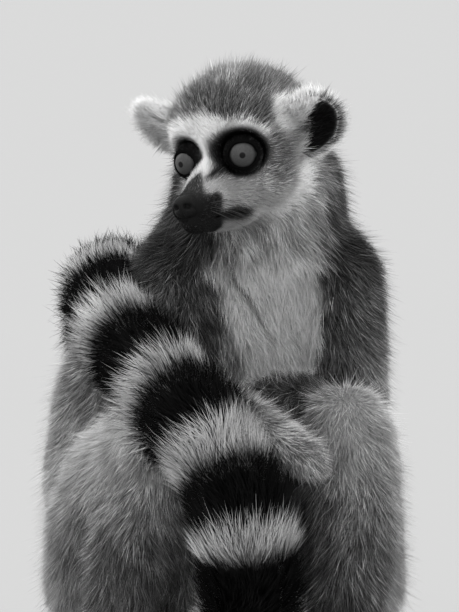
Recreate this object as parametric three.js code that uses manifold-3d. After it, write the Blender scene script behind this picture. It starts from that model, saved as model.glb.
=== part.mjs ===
// A ring-tailed lemur at life size, sitting upright with its knees drawn up, its forearms
// crossed over them and its tail brought up the front and over the right shoulder.
//
// Millimetres, +Z up. The floor is z = 0 and the origin is the middle of the seat. The
// camera side is -Y, so the animal faces -Y and its own left is +X. Every solid reaches to
// the tips of the coat. A body part is a loft: oval rings along a smooth curve, rounded at
// both ends. Parts overlap as drawn, and each one is then cut back by those made before it.
import * as THREE from "three";
import { mergeVertices } from "three/addons/utils/BufferGeometryUtils.js";
import Module from "manifold-3d";

// ---------------------------------------------------------------- driving sizes
const GAP = 0.3; // air left between two parts that touch
const FACING = 14; // degrees that the body is turned towards +X
const HEAD = { eyes: [6, -105, 274.6], yaw: -32, pitch: 8, roll: -8 }; // between the eyes
const EYE = { radius: 8.5, apart: 30, outward: 30, dish: 12.5, forward: 11.5 };
const EAR = { hollow: 7, scoop: [15, 11.5, 7.5] }; // the scoop's half length, width and depth
const TAIL = { radius: 27.5, radii: [20, 25.5, 27.5, 27.5, 27.5, 27.5, 26.5, 24, 25.5], root: 12, tip: 26, lengths: 6 };
const HAND = { palm: 24, wide: 10, thick: 5.5, finger: 3.4, reach: [21, 27, 29, 25], thumb: 15 };
const FOOT = { palm: 54, wide: 13, thick: 8, finger: 4.4, reach: [24, 30, 32, 27], thumb: 21 };

// ---------------------------------------------------------------- stations
// One row for each station along a part: x, y, z, half the width, half the depth.
const TRUNK = [
  [2, 0, 12, 60, 54],
  [2, 4, 42, 78, 62],
  [-1, 6, 88, 84, 67],
  [-3, -2, 135, 85, 63],
  [4, -20, 174, 70, 55],
  [14, -38, 206, 56, 48],
  [20, -52, 232, 48, 42],
];
const NECK = [
  [23, -50, 226, 53, 43],
  [26, -58, 251, 47, 42],
  [25, -65, 272, 43, 38],
];
const SKULL = [
  [0, 54, 2, 24, 25],
  [0, 38, 7, 33, 35],
  [0, 19, 8, 34, 36],
  [0, 4, 6, 32, 32],
];
const CHEEKS = [
  [0, 34, -15, 31, 18],
  [0, 15, -16, 33, 20],
  [0, -3, -17, 26, 16],
];
const MUZZLE = [
  [0, 2, -12, 20, 19],
  [0, -14, -15.5, 14.5, 14],
  [0, -27, -18.5, 10.5, 9.5],
  [0, -34, -21, 9, 8.2],
];
const JAW = [
  [0, 6, -31, 18, 6],
  [0, -12, -30, 12, 5.5],
  [0, -30, -28.2, 8, 4.5],
];
const NOSE = [
  [0, -33, -18, 7, 5.8],
  [0, -37.5, -18.8, 6.6, 5.4],
];
const UPPER_ARM = {
  left: [[62, -42, 214, 31, 31], [69, -38, 182, 26, 27], [74, -30, 150, 21, 22]],
  right: [[-10, -58, 213, 33, 31], [-23, -74, 184, 26, 26], [-32, -92, 155, 20, 20]],
};
const FOREARM = {
  left: [[74, -32, 146, 20, 20], [47, -58, 151, 17, 17], [22, -77, 150, 12, 12]],
  right: [[-32, -92, 154, 19, 19], [8, -106, 150, 17, 17], [52, -120, 125, 12.5, 12.5]],
};
const THIGH = {
  left: [[57, -2, 50, 48, 45], [65, -36, 98, 37, 38], [70, -74, 138, 27, 27]],
  right: [[-40, -4, 50, 46, 45], [-44, -52, 98, 38, 40], [-26, -98, 134, 26, 26]],
};
const SHIN = {
  left: [[70, -76, 138, 27, 27], [73, -72, 84, 26, 26], [70, -54, 26, 17, 17]],
  right: [[-24, -98, 134, 26, 26], [-37, -88, 82, 25, 26], [-46, -64, 26, 17, 17]],
};
// From its root under the rump, forward between the feet, up the front, over the right shoulder
// and down the back to its tip.
const TAIL_LINE = [
  [6, -34, 27],
  [9, -72, 26.5],
  [14, -115, 29],
  [21, -150, 46],
  [21, -161, 79],
  [13, -148, 115],
  [-11, -123, 154],
  [-43, -83, 185],
  [-50, -38, 204],
  [-46, 5, 203],
  [-48, 50, 182],
  [-46, 82, 142],
  [-38, 93, 98],
];
// Where a hand or foot joins its limb, the way it points and the way its palm or sole faces.
const HANDS = {
  left: { at: [20, -79, 149], points: [-0.15, -0.2, -0.97], palm: [-0.2, 0.95, -0.1] },
  right: { at: [49, -114, 121], points: [-0.82, 0.28, -0.5], palm: [-0.3, 0.8, 0.5] },
};
const FEET = {
  left: { at: [70, -46, 7.5], points: [0.2, -0.98, 0], palm: [0, 0, -1] },
  right: { at: [-48, -56, 7.5], points: [-0.22, -0.98, 0], palm: [0, 0, -1] },
};
// An ear's stations from its root to its tip, and the way that it opens, in the head's frame.
const EARS = {
  left: {
    line: [[28, 27, 1, 15, 9], [39.5, 29, 9, 17, 7], [47.5, 30, 15, 12, 4]],
    opens: [0.62, -0.78, -0.3],
  },
  right: {
    line: [[-29, 25, 7, 15, 9], [-42, 24, 16, 15.5, 7], [-52, 22, 24.5, 11, 4]],
    opens: [-0.62, -0.78, -0.3],
  },
};

// ---------------------------------------------------------------- tools
const wasm = await Module();
wasm.setup();
const rad = THREE.MathUtils.degToRad;
const vec = (a) => new THREE.Vector3(...a);

// A closed three.js geometry as a manifold-3d solid.
function solidOf(geometry) {
  const bare = geometry.clone();
  bare.deleteAttribute("normal");
  bare.deleteAttribute("uv");
  const merged = mergeVertices(bare, 1e-4);
  return new wasm.Manifold(
    new wasm.Mesh({
      numProp: 3,
      vertProperties: merged.attributes.position.array,
      triVerts: new Uint32Array(merged.index.array),
    }),
  );
}

// Oval rings along the stations' curve. caps are the lengths of the rounded ends, 0 for a flat
// end. side is the direction of the width. from and to pick a stretch of the curve.
function loft(stations, { side, sides, rings, caps = null, from = 0, to = 1 }, grow = 0) {
  const line = new THREE.CatmullRomCurve3(stations.map((s) => vec(s.slice(0, 3))));
  const ovals = new THREE.CatmullRomCurve3(stations.map((s) => vec([s[3], s[4], 0])));
  const across = vec(side);
  const ring = (t, share, ahead) => {
    const tangent = line.getTangent(t);
    const wide = across.clone().addScaledVector(tangent, -across.dot(tangent)).normalize();
    const deep = tangent.clone().cross(wide);
    const oval = ovals.getPoint(t).addScalar(grow).multiplyScalar(share);
    const centre = line.getPoint(t).addScaledVector(tangent, ahead);
    return Array.from({ length: sides }, (_, k) => {
      const turn = (2 * Math.PI * k) / sides;
      return centre
        .clone()
        .addScaledVector(wide, oval.x * Math.cos(turn))
        .addScaledVector(deep, oval.y * Math.sin(turn));
    });
  };
  const first = ovals.getPoint(from);
  const last = ovals.getPoint(to);
  const [back, front] = caps ?? [Math.min(first.x, first.y), Math.min(last.x, last.y)];
  const steps = 2; // rings in a rounded end
  const rows = [];
  for (let k = 1; back && k < steps; k++) {
    const turn = (k / steps) * (Math.PI / 2);
    rows.push(ring(from, Math.sin(turn), -(back + grow) * Math.cos(turn)));
  }
  for (let k = 0; k <= rings; k++) rows.push(ring(from + ((to - from) * k) / rings, 1, 0));
  for (let k = steps - 1; front && k > 0; k--) {
    const turn = (k / steps) * (Math.PI / 2);
    rows.push(ring(to, Math.sin(turn), (front + grow) * Math.cos(turn)));
  }
  const tip = (t, ahead) => line.getPoint(t).addScaledVector(line.getTangent(t), ahead);
  const points = [
    tip(from, back ? -(back + grow) : 0),
    ...rows.flat(),
    tip(to, front ? front + grow : 0),
  ];
  const at = (row, k) => 1 + row * sides + (k % sides);
  const faces = [];
  for (let k = 0; k < sides; k++) {
    faces.push(0, at(0, k + 1), at(0, k));
    for (let row = 0; row + 1 < rows.length; row++) {
      faces.push(at(row, k), at(row, k + 1), at(row + 1, k + 1));
      faces.push(at(row, k), at(row + 1, k + 1), at(row + 1, k));
    }
    faces.push(points.length - 1, at(rows.length - 1, k), at(rows.length - 1, k + 1));
  }
  const geometry = new THREE.BufferGeometry().setFromPoints(points);
  geometry.setIndex(faces);
  return solidOf(geometry);
}

// A sphere stretched to three half sizes, turned by a rotation matrix and moved to a point.
function ball(centre, halves, sides, frame = new THREE.Matrix4(), grow = 0) {
  const geometry = new THREE.SphereGeometry(1, sides, Math.round(sides * 0.7));
  geometry.scale(halves[0] + grow, halves[1] + grow, halves[2] + grow);
  geometry.applyMatrix4(frame);
  geometry.translate(...centre);
  return solidOf(geometry);
}

function turned(degrees, at) {
  const turn = new THREE.Quaternion().setFromEuler(new THREE.Euler(...degrees.map(rad), "ZXY"));
  return new THREE.Matrix4().compose(vec(at), turn, new THREE.Vector3(1, 1, 1));
}

// ---------------------------------------------------------------- body parts
// Each part is a function of grow, the air to leave round it.
const lateral = [Math.cos(rad(FACING)), Math.sin(rad(FACING)), 0];
const headFrame = turned([HEAD.pitch, HEAD.roll, HEAD.yaw], HEAD.eyes);
const inHead = (solid) => solid.transform(headFrame.elements);
const SIDES = { left: 1, right: -1 };

const trunk = (grow) => loft(TRUNK, { side: lateral, sides: 16, rings: 7, caps: [22, 30] }, grow);
const neck = (grow) => loft(NECK, { side: lateral, sides: 12, rings: 3, caps: [20, 16] }, grow);

function limb(stations, sides, rings) {
  return (grow) => loft(stations, { side: [1, 0, 0], sides, rings }, grow);
}

function head(grow) {
  const across = { side: [1, 0, 0] };
  const skull = loft(SKULL, { ...across, sides: 14, rings: 4, caps: [10, 14] }, grow);
  const cheeks = loft(CHEEKS, { ...across, sides: 12, rings: 3, caps: [12, 10] }, grow);
  const muzzle = loft(MUZZLE, { ...across, sides: 12, rings: 3, caps: [8, 3.5] }, grow);
  let whole = skull.add(cheeks).add(muzzle);
  for (const way of Object.values(SIDES)) {
    const gaze = eyeGaze(way).multiplyScalar(EYE.forward);
    const dish = ball(eyeCentre(way).add(gaze).toArray(), Array(3).fill(EYE.dish), 10);
    whole = whole.subtract(dish);
  }
  return inHead(whole);
}

function jaw(grow) {
  return inHead(loft(JAW, { side: [1, 0, 0], sides: 10, rings: 3, caps: [4, 4] }, grow));
}

function nose(grow) {
  return inHead(loft(NOSE, { side: [1, 0, 0], sides: 10, rings: 1, caps: [2, 2.5] }, grow));
}

function eyeCentre(way) {
  return new THREE.Vector3((way * EYE.apart) / 2, 0, 0);
}

function eyeGaze(way) {
  return new THREE.Vector3(way * Math.sin(rad(EYE.outward)), -Math.cos(rad(EYE.outward)), 0);
}

function eye(way) {
  const halves = Array(3).fill(EYE.radius);
  return (grow) => inHead(ball(eyeCentre(way).toArray(), halves, 12, undefined, grow));
}

// An ear is a flat loft, hollowed on the side that it opens to.
function ear({ line, opens }) {
  const along = vec(line.at(-1)).sub(vec(line[0])).normalize();
  const open = vec(opens).addScaledVector(along, -vec(opens).dot(along)).normalize();
  const wide = open.clone().cross(along);
  const frame = new THREE.Matrix4().makeBasis(along, wide, open);
  const scoop = vec(line[1]).addScaledVector(open, EAR.hollow);
  return (grow) => {
    const shell = loft(line, { side: wide.toArray(), sides: 10, rings: 4, caps: [4, 5] }, grow);
    return inHead(shell.subtract(ball(scoop.toArray(), EAR.scoop, 10, frame)));
  };
}

// A palm and its fingers, made pointing along -Y with the palm down, and then put in place.
function paw({ at, points, palm: faces }, way, size) {
  const { palm, wide, thick, finger, reach, thumb } = size;
  const back = vec(points).normalize().negate();
  const side = back.clone().cross(vec(faces).negate()).normalize();
  const frame = new THREE.Matrix4().makeBasis(side, back, side.clone().cross(back)).setPosition(...at);
  const across = { side: [1, 0, 0] };
  const palmLine = [
    [0, 6, thick * 0.1, wide * 0.75, thick],
    [0, -palm * 0.5, 0, wide * 0.92, thick * 0.9],
    [0, -palm, -thick * 0.15, wide, thick * 0.75],
  ];
  // The fingers fan out from the knuckles, and each arches a little and drops at its tip.
  const fingerLines = reach.map((length, k) => {
    const fan = way * (wide - finger * 0.6) * (k / 1.5 - 1);
    return [
      [fan * 0.8, 6 - palm, -thick * 0.1, finger, finger],
      [fan * 1.15, -palm - length * 0.5, thick * 0.05, finger, finger * 0.95],
      [fan * 1.35, -palm - length, -thick * 0.35, finger * 0.8, finger * 0.75],
    ];
  });
  const thumbLine = [
    [-way * wide * 0.6, -palm * 0.55, 0, finger * 1.1, finger],
    [-way * (wide + thumb * 0.75), -palm * 0.75 - thumb * 0.6, -thick * 0.3, finger, finger * 0.9],
  ];
  return (grow) => {
    let whole = loft(palmLine, { ...across, sides: 8, rings: 2, caps: [4, 3] }, grow);
    for (const line of fingerLines) {
      whole = whole.add(loft(line, { ...across, sides: 6, rings: 2 }, grow));
    }
    whole = whole.add(loft(thumbLine, { side: [0, 1, 0], sides: 6, rings: 1 }, grow));
    return whole.transform(frame.elements);
  };
}

// The tail is one curve, cut square into lengths with the gap between them.
const tailStations = TAIL_LINE.map(([x, y, z], k) => {
  const radius = TAIL.radii[k] ?? TAIL.radius;
  return [x, y, z, radius, radius];
});
const tailSpan = new THREE.CatmullRomCurve3(TAIL_LINE.map(vec)).getLength();

function tailLength(number) {
  const last = TAIL.lengths - 1;
  const margin = GAP / 2 / tailSpan;
  const from = number / TAIL.lengths + (number ? margin : 0);
  const to = (number + 1) / TAIL.lengths - (number < last ? margin : 0);
  const caps = [number ? 0 : TAIL.root, number === last ? TAIL.tip : 0];
  const shape = { side: [1, 0, 0.35], sides: 12, rings: 4, caps, from, to };
  return (grow) => loft(tailStations, shape, grow);
}

// ---------------------------------------------------------------- assembly
const GREY = { color: 0x8d8b88, roughness: 0.9 };
const DARK = { color: 0x5d5b59, roughness: 0.9 };
const WHITE = { color: 0xdedcd8, roughness: 0.9 };
const BLACK = { color: 0x1d1c1b, roughness: 0.5 };
const AMBER = { color: 0x8b8067, roughness: 0.15 };

// In the order of making: an earlier part keeps its shape, a later one is cut back by it.
const both = (name, part, look) => Object.keys(SIDES).map((s) => [name + "_" + s, part(s), look]);
const PARTS = [
  ...both("eye", (s) => eye(SIDES[s]), AMBER),
  ["nose", nose, BLACK],
  ["jaw", jaw, BLACK],
  ["head", head, DARK],
  ...Array.from({ length: TAIL.lengths }, (_, k) => ["tail_" + (k + 1), tailLength(k), WHITE]),
  ...both("hand", (s) => paw(HANDS[s], SIDES[s], HAND), GREY),
  ...both("foot", (s) => paw(FEET[s], SIDES[s], FOOT), GREY),
  ["forearm_right", limb(FOREARM.right, 10, 3), GREY],
  ["forearm_left", limb(FOREARM.left, 10, 3), GREY],
  ...both("shin", (s) => limb(SHIN[s], 12, 3), GREY),
  ["trunk", trunk, GREY],
  ...both("thigh", (s) => limb(THIGH[s], 12, 3), GREY),
  ...both("upper_arm", (s) => limb(UPPER_ARM[s], 10, 3), DARK),
  ["neck", neck, WHITE],
  ...both("ear", (s) => ear(EARS[s]), WHITE),
];

function touching(a, b) {
  const [p, q] = [a.boundingBox(), b.boundingBox()];
  return [0, 1, 2].every((k) => p.min[k] < q.max[k] && q.min[k] < p.max[k]);
}

// A solid as a mesh that is placed at its own middle.
function meshOf(name, solid, look) {
  const { numProp, vertProperties, triVerts } = solid.getMesh();
  const geometry = new THREE.BufferGeometry();
  const points = [];
  for (let k = 0; k < vertProperties.length; k += numProp) {
    points.push(vec(vertProperties.subarray(k, k + 3)));
  }
  geometry.setFromPoints(points);
  geometry.setIndex(new THREE.BufferAttribute(triVerts, 1));
  geometry.computeBoundingBox();
  const centre = geometry.boundingBox.getCenter(new THREE.Vector3());
  geometry.translate(...centre.clone().negate().toArray());
  geometry.computeVertexNormals();
  const mesh = new THREE.Mesh(geometry, new THREE.MeshStandardMaterial({ metalness: 0, ...look }));
  mesh.name = name;
  mesh.position.copy(centre);
  return mesh;
}

// What would be under the floor is cut away, which leaves a flat where the animal rests.
const underfloor = solidOf(new THREE.BoxGeometry(1000, 1000, 100).translate(0, 0, -50));
const root = new THREE.Group();
const made = [];
for (const [name, part, look] of PARTS) {
  let solid = part(0).subtract(underfloor);
  for (const earlier of made) {
    if (touching(solid, earlier)) solid = solid.subtract(earlier);
  }
  // Slivers that the cuts leave behind are dropped.
  const [largest] = solid.decompose().sort((a, b) => b.volume() - a.volume());
  root.add(meshOf(name, largest, look));
  made.push(part(GAP));
}

export default root;
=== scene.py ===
# %% [markdown]
# # A ring-tailed lemur, sitting
# This lesson dresses a life-size museum model of a ring-tailed lemur. The solids of the body
# come ready made, at their real size, and are never changed here. We lay one skin inside them,
# grow a coat on that skin as many thousands of thin solid tufts, and add eyes, nose, nails and
# whiskers. Lengths are worked out in millimetres, and become metres when a mesh is made.

# %% Load the solids
import math

import bpy
import numpy as np
import openvdb
from mathutils import Matrix, Vector
from mathutils.bvhtree import BVHTree
from mathutils.kdtree import KDTree


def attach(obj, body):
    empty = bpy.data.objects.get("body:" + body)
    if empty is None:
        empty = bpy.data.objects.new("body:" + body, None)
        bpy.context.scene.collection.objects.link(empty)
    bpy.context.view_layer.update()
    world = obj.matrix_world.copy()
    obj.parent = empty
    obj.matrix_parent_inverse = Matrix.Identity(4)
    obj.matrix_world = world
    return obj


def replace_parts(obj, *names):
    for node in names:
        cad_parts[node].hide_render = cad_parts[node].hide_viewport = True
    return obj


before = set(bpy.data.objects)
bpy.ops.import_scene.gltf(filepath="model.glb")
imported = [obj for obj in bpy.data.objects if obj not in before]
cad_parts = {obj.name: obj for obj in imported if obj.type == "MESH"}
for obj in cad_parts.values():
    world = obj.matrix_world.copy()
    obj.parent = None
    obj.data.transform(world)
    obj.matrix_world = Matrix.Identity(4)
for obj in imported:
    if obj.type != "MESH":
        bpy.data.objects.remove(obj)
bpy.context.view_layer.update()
MM = 0.001
SIDES = {"left": 1, "right": -1}

# %% [markdown]
# ## Where the head, the eyes and the tail are
# Three things need more than a box. The head is turned, so its features are placed in a frame
# of its own: the origin is midway between the eyes, +X is the animal's left, -Y is forward and
# +Z is up. The tail is a curve, which gives its bands their places and its hair a direction.

# %% The head's frame and the tail's line
HEAD_EYES = np.array([6, -105, 274.6])
HEAD_YAW, HEAD_PITCH, HEAD_ROLL = -32, 8, -8
EYE_RADIUS, EYE_APART = 8.5, 30
EYES_OUTWARD = {1: 30, -1: 9}  # degrees from straight ahead. As a pair they look a little left
NOSE_TIP = np.array([0, -40, -19])
TAIL_LINE = [(6, -34, 27), (9, -72, 26.5), (14, -115, 29), (21, -150, 46), (21, -161, 79),
             (13, -148, 115), (-11, -123, 154), (-43, -83, 185), (-50, -38, 204), (-46, 5, 203),
             (-48, 50, 182), (-46, 82, 142), (-38, 93, 98)]


def turn(axis, degrees):
    """The 3x3 matrix of a turn about axis 0, 1 or 2."""
    c, s = math.cos(math.radians(degrees)), math.sin(math.radians(degrees))
    a, b = [(1, 2), (2, 0), (0, 1)][axis]
    made = np.eye(3)
    made[a, a] = made[b, b] = c
    made[b, a], made[a, b] = s, -s
    return made


HEAD_AXES = turn(2, HEAD_YAW) @ turn(0, HEAD_PITCH) @ turn(1, HEAD_ROLL)


def to_head(points):
    return (points - HEAD_EYES) @ HEAD_AXES


def from_head(points):
    return np.asarray(points) @ HEAD_AXES.T + HEAD_EYES


def eye_centre(way):
    return np.array([way * EYE_APART / 2, 0, 0])


def eye_gaze(way):
    out = math.radians(EYES_OUTWARD[way])
    return np.array([way * math.sin(out), -math.cos(out), 0])


def catmull(points, steps):
    """A smooth line through the points, with steps new points in each span."""
    p = np.array(points, float)
    p = np.vstack([2 * p[0] - p[1], p, 2 * p[-1] - p[-2]])
    t = np.linspace(0, 1, steps, endpoint=False)[:, None]
    spans = [
        0.5 * (2 * b + (c - a) * t + (2 * a - 5 * b + 4 * c - d) * t**2 + (3 * b - a - 3 * c + d) * t**3)
        for a, b, c, d in zip(p, p[1:], p[2:], p[3:])
    ]
    return np.vstack([*spans, p[-2:-1]])


tail_path = catmull(TAIL_LINE, 24)
tail_tangent = np.gradient(tail_path, axis=0)
tail_tangent /= np.linalg.norm(tail_tangent, axis=1)[:, None]
tail_run = np.concatenate([[0], np.cumsum(np.linalg.norm(np.diff(tail_path, axis=0), axis=1))])
print("tail line:", round(tail_run[-1]), "mm")

# %% [markdown]
# ## How the coat differs from part to part
# A lemur's coat is woolly and long on the body, long and flaring on the tail, and short on the
# face, hands and feet. One row for each kind of part says how far the skin lies inside the
# solid, how much its form is softened, and how the hair grows there.

# %% The coat's table
# depth: skin below the solid. soft: blur of the form. length, width: of a tuft. dense: tufts
# per square mm. lift: degrees that a tuft stands off the skin. All lengths in mm.
COAT = {
    "trunk": dict(depth=5.6, soft=5.0, length=9.5, width=0.29, dense=1.45, lift=40),
    "neck": dict(depth=4.2, soft=5.0, length=9.0, width=0.28, dense=2.00, lift=42),
    "upper_arm": dict(depth=5.2, soft=4.0, length=9.0, width=0.29, dense=1.80, lift=38),
    "forearm": dict(depth=3.8, soft=2.5, length=8.0, width=0.28, dense=2.10, lift=34),
    "thigh": dict(depth=5.2, soft=4.0, length=9.0, width=0.29, dense=1.55, lift=38),
    "shin": dict(depth=4.6, soft=3.0, length=8.5, width=0.28, dense=1.55, lift=36),
    "hand": dict(depth=0.7, soft=0.8, length=2.3, width=0.26, dense=1.8, lift=18),
    "foot": dict(depth=0.7, soft=0.8, length=2.5, width=0.26, dense=1.8, lift=18),
    "head": dict(depth=3.2, soft=2.0, length=5.2, width=0.27, dense=3.1, lift=36),
    "jaw": dict(depth=1.6, soft=1.5, length=3.0, width=0.24, dense=3.2, lift=22),
    "nose": dict(depth=0.5, soft=0.8, length=1.0, width=0.20, dense=1.0, lift=10),
    "ear": dict(depth=1.0, soft=0.9, length=8.0, width=0.25, dense=3.2, lift=36),
    "tail": dict(depth=12.0, soft=3.0, length=18.5, width=0.37, dense=1.15, lift=52),
}
flesh = sorted(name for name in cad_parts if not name.startswith("eye"))


def kind_of(node):
    """The row of the coat's table that a node takes, such as forearm for forearm_left."""
    return next(kind for kind in sorted(COAT, key=len, reverse=True) if node.startswith(kind))


print({name: kind_of(name) for name in flesh[:4]}, "...")

# %% [markdown]
# ## One surface round all the solids
# The solids meet with a hair's breadth of air between them. Turned into a field that holds, at
# each point of a grid, the distance to the nearest surface, they flow into one body. The first
# pass closes the gaps, and the second measures true distances inside the closed body, which
# lets us sink the skin by as much as the coat is deep.

# %% Distance field of the body
VOXEL = 1.25
OUT_BAND, IN_BAND = 8, 20


def node_triangles(name):
    """A node's corners in mm, three for each triangle."""
    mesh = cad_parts[name].data
    mesh.calc_loop_triangles()
    corners = np.empty(len(mesh.loop_triangles) * 3, np.int32)
    mesh.loop_triangles.foreach_get("vertices", corners)
    points = np.empty(len(mesh.vertices) * 3, np.float32)
    mesh.vertices.foreach_get("co", points)
    return points.reshape(-1, 3)[corners] / MM


def level_set(points, outside, inside, **faces):
    scale = openvdb.createLinearTransform(voxelSize=VOXEL)
    return openvdb.FloatGrid.createLevelSetFromPolygons(
        points.astype(np.float32), transform=scale, exBandWidth=outside, inBandWidth=inside, **faces)


corners = np.vstack([node_triangles(name) for name in flesh])
corner_node = np.repeat(np.arange(len(flesh)), [len(node_triangles(name)) for name in flesh])
loose = np.arange(len(corners), dtype=np.uint32).reshape(-1, 3)
closed_points, closed_quads = level_set(corners, 3, 3, triangles=loose).convertToQuads(isovalue=0)
body = level_set(closed_points, OUT_BAND, IN_BAND, quads=closed_quads)

margin = 6
low = np.floor(corners.min(0) / VOXEL).astype(int) - margin
high = np.ceil(corners.max(0) / VOXEL).astype(int) + margin
field = np.empty(high - low, np.float32)
body.copyToArray(field, ijk=tuple(int(v) for v in low))
axes = [np.arange(a, b) * VOXEL for a, b in zip(low, high)]
print("grid", field.shape, "from", round(float(field.min()), 1), "to", round(float(field.max()), 1), "mm")

# %% [markdown]
# ## From the coat's outline down to the skin
# The skin is the same surface, softened and drawn in. How much depends on the part, so the
# table's numbers are first written into a coarse grid by asking which solid is nearest, and are
# then stretched smoothly over the fine grid. The blur takes out the solids' facets and lets
# limbs flow into the trunk, while fingers and ears keep their form.

# %% Softened and sunk
COARSE = 6  # voxels in a step of the coarse grid
LEVELS = (0.8, 2.0, 5.0)  # blurs to mix between, mm

surface = BVHTree.FromPolygons(corners.tolist(), loose.tolist())


def nearest_nodes(points):
    """For each point, the number of the solid whose surface is nearest."""
    return np.array([corner_node[3 * surface.find_nearest(p)[2]] for p in points.tolist()])


def blur(values, sigma):
    """Gaussian blur of a 3-D array, sigma in voxels."""
    reach = max(1, math.ceil(2.5 * sigma))
    weights = np.exp(-0.5 * (np.arange(reach + 1) / sigma) ** 2).astype(np.float32)
    weights /= 2 * weights.sum() - weights[0]
    for axis in range(3):
        values = np.moveaxis(values, axis, 0)
        total = weights[0] * values
        for k in range(1, reach + 1):
            total[k:] += weights[k] * values[:-k]
            total[:-k] += weights[k] * values[k:]
            total[:k] += weights[k] * values[:1]
            total[-k:] += weights[k] * values[-1:]
        values = np.moveaxis(total, 0, axis)
    return values


def stretch(coarse, shape, step):
    """A coarse 3-D array drawn out to a finer shape by straight interpolation."""
    for axis, count in enumerate(shape):
        place = np.arange(count) / step
        first = np.minimum(place.astype(int), coarse.shape[axis] - 2)
        weights = np.zeros((count, coarse.shape[axis]), np.float32)
        weights[np.arange(count), first] = 1 - (place - first)
        weights[np.arange(count), first + 1] = place - first
        coarse = np.moveaxis(np.tensordot(weights, coarse, (1, axis)), 0, axis)
    return coarse


coarse_axes = [a[0] + np.arange(len(a) // COARSE + 2) * COARSE * VOXEL for a in axes]
coarse_points = np.stack(np.meshgrid(*coarse_axes, indexing="ij"), -1)
coarse_nodes = nearest_nodes(coarse_points.reshape(-1, 3))


def coarse_map(key):
    """One column of the coat's table over the fine grid."""
    values = np.array([COAT[kind_of(name)][key] for name in flesh], np.float32)[coarse_nodes]
    return stretch(blur(values.reshape(coarse_points.shape[:3]), 0.6), field.shape, COARSE)


soft = coarse_map("soft")
blurred, last_sigma = field, 0.0
skin_field = None
for k, sigma in enumerate(LEVELS):
    blurred = blur(blurred, math.sqrt(sigma**2 - last_sigma**2) / VOXEL)
    last_sigma = sigma
    if skin_field is None:
        skin_field = blurred
    else:
        share = np.clip((soft - LEVELS[k - 1]) / (sigma - LEVELS[k - 1]), 0, 1)
        skin_field = skin_field + share * (blurred - skin_field)
skin_field = skin_field + coarse_map("depth")
del soft, blurred, field
print("skin field", skin_field.shape)

# %% [markdown]
# ## Lids, lips and muzzle
# The head gets its detail from a few simple shapes, each a distance of its own. A smooth
# minimum adds a shape as if it were modelled in clay, and a smooth maximum carves one away:
# round lids over each eyeball, an oval opening in them, whisker pads beside the nose and the
# groove of the mouth.

# %% The head's detail
LID = 0.9  # thickness of the eyelids
OPENINGS = {1: (6.9, 6.1), -1: (6.0, 5.2)}  # half width and half height of the opening between them
MOUTH = [(0, -38, -25.2), (4.4, -34, -25.8), (6.8, -26, -26.4), (7.6, -17.5, -27), (11.6, -5.5, -27.6)]
GROOVE = 0.7
WHISKER_PAD = dict(at=(5.2, -28, -20), halves=(5.6, 9.5, 6.6))
CHIN = dict(at=(0, -29, -26.5), halves=(5.6, 8.5, 5.0))
THIN_COAT = [(6, 1.0), (14, 2.2), (30, 1.2), (48, 0)]  # distance from the nose, how much thinner the coat is


def smooth_min(a, b, k):
    h = np.clip(0.5 + 0.5 * (b - a) / k, 0, 1)
    return b + (a - b) * h - k * h * (1 - h)


def smooth_max(a, b, k):
    return -smooth_min(-a, -b, k)


def line_distance(p, line):
    """Distance from points to a line through a few points."""
    line = np.array(line, float)
    best = None
    for a, b in zip(line, line[1:]):
        t = np.clip((p - a) @ (b - a) / ((b - a) @ (b - a)), 0, 1)
        d = np.linalg.norm(p - a - t[..., None] * (b - a), axis=-1)
        best = d if best is None else np.minimum(best, d)
    return best


def ellipsoid_distance(p, at, halves):
    q = (p - np.array(at)) / np.array(halves)
    size = np.linalg.norm(q, axis=-1)
    return size * (size - 1) / np.maximum(np.linalg.norm(q / np.array(halves), axis=-1), 1e-6)


def eye_places(p, way):
    """A point's place from an eye's centre: across, up, forward along the gaze."""
    gaze = eye_gaze(way)
    across = np.cross(gaze, [0, 0, 1])
    r = p - eye_centre(way)
    return r @ across, r @ np.cross(across, gaze), r @ gaze


def mirrored(p, way):
    return p * np.array([way, 1, 1])


def detailed(p, base):
    """The skin's distance near the face, from points in the head's frame."""
    base = base - np.interp(np.linalg.norm(p - NOSE_TIP, axis=-1), *zip(*THIN_COAT))
    for way in SIDES.values():
        q = mirrored(p, way)
        base = smooth_min(base, ellipsoid_distance(q, **WHISKER_PAD), 2.5)
        base = smooth_min(base, ellipsoid_distance(q, **CHIN), 3.5)
        across, up, forward = eye_places(p, way)
        away = np.sqrt(across**2 + up**2 + forward**2)
        base = smooth_min(base, away - EYE_RADIUS - LID, 2.2)
        wide, tall = OPENINGS[way]
        opening = (np.hypot(across / wide, up / tall) - 1) * tall
        cut = np.maximum(np.maximum(opening, EYE_RADIUS - 0.8 - away), -forward)
        base = smooth_max(base, -cut, 0.7)
        base = smooth_max(base, GROOVE - line_distance(q, MOUTH), 0.6)
    return base


FACE = dict(low=(-40, -48, -40), high=(40, 62, 45))  # the head's box in its own frame


def inside_face(p):
    return np.all((p > FACE["low"]) & (p < FACE["high"]), axis=-1)


face_corners = from_head([[x, y, z]
                          for x in (FACE["low"][0], FACE["high"][0])
                          for y in (FACE["low"][1], FACE["high"][1])
                          for z in (FACE["low"][2], FACE["high"][2])])
cells = tuple(slice(max(0, int((face_corners[:, k].min() - axes[k][0]) / VOXEL)),
                    int((face_corners[:, k].max() - axes[k][0]) / VOXEL) + 1) for k in range(3))
base_field = skin_field.copy()
face_points = to_head(np.stack(np.meshgrid(*[a[c] for a, c in zip(axes, cells)], indexing="ij"), -1))
skin_field[cells] = detailed(face_points, skin_field[cells])
print("face cells", face_points.shape[:3])
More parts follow.
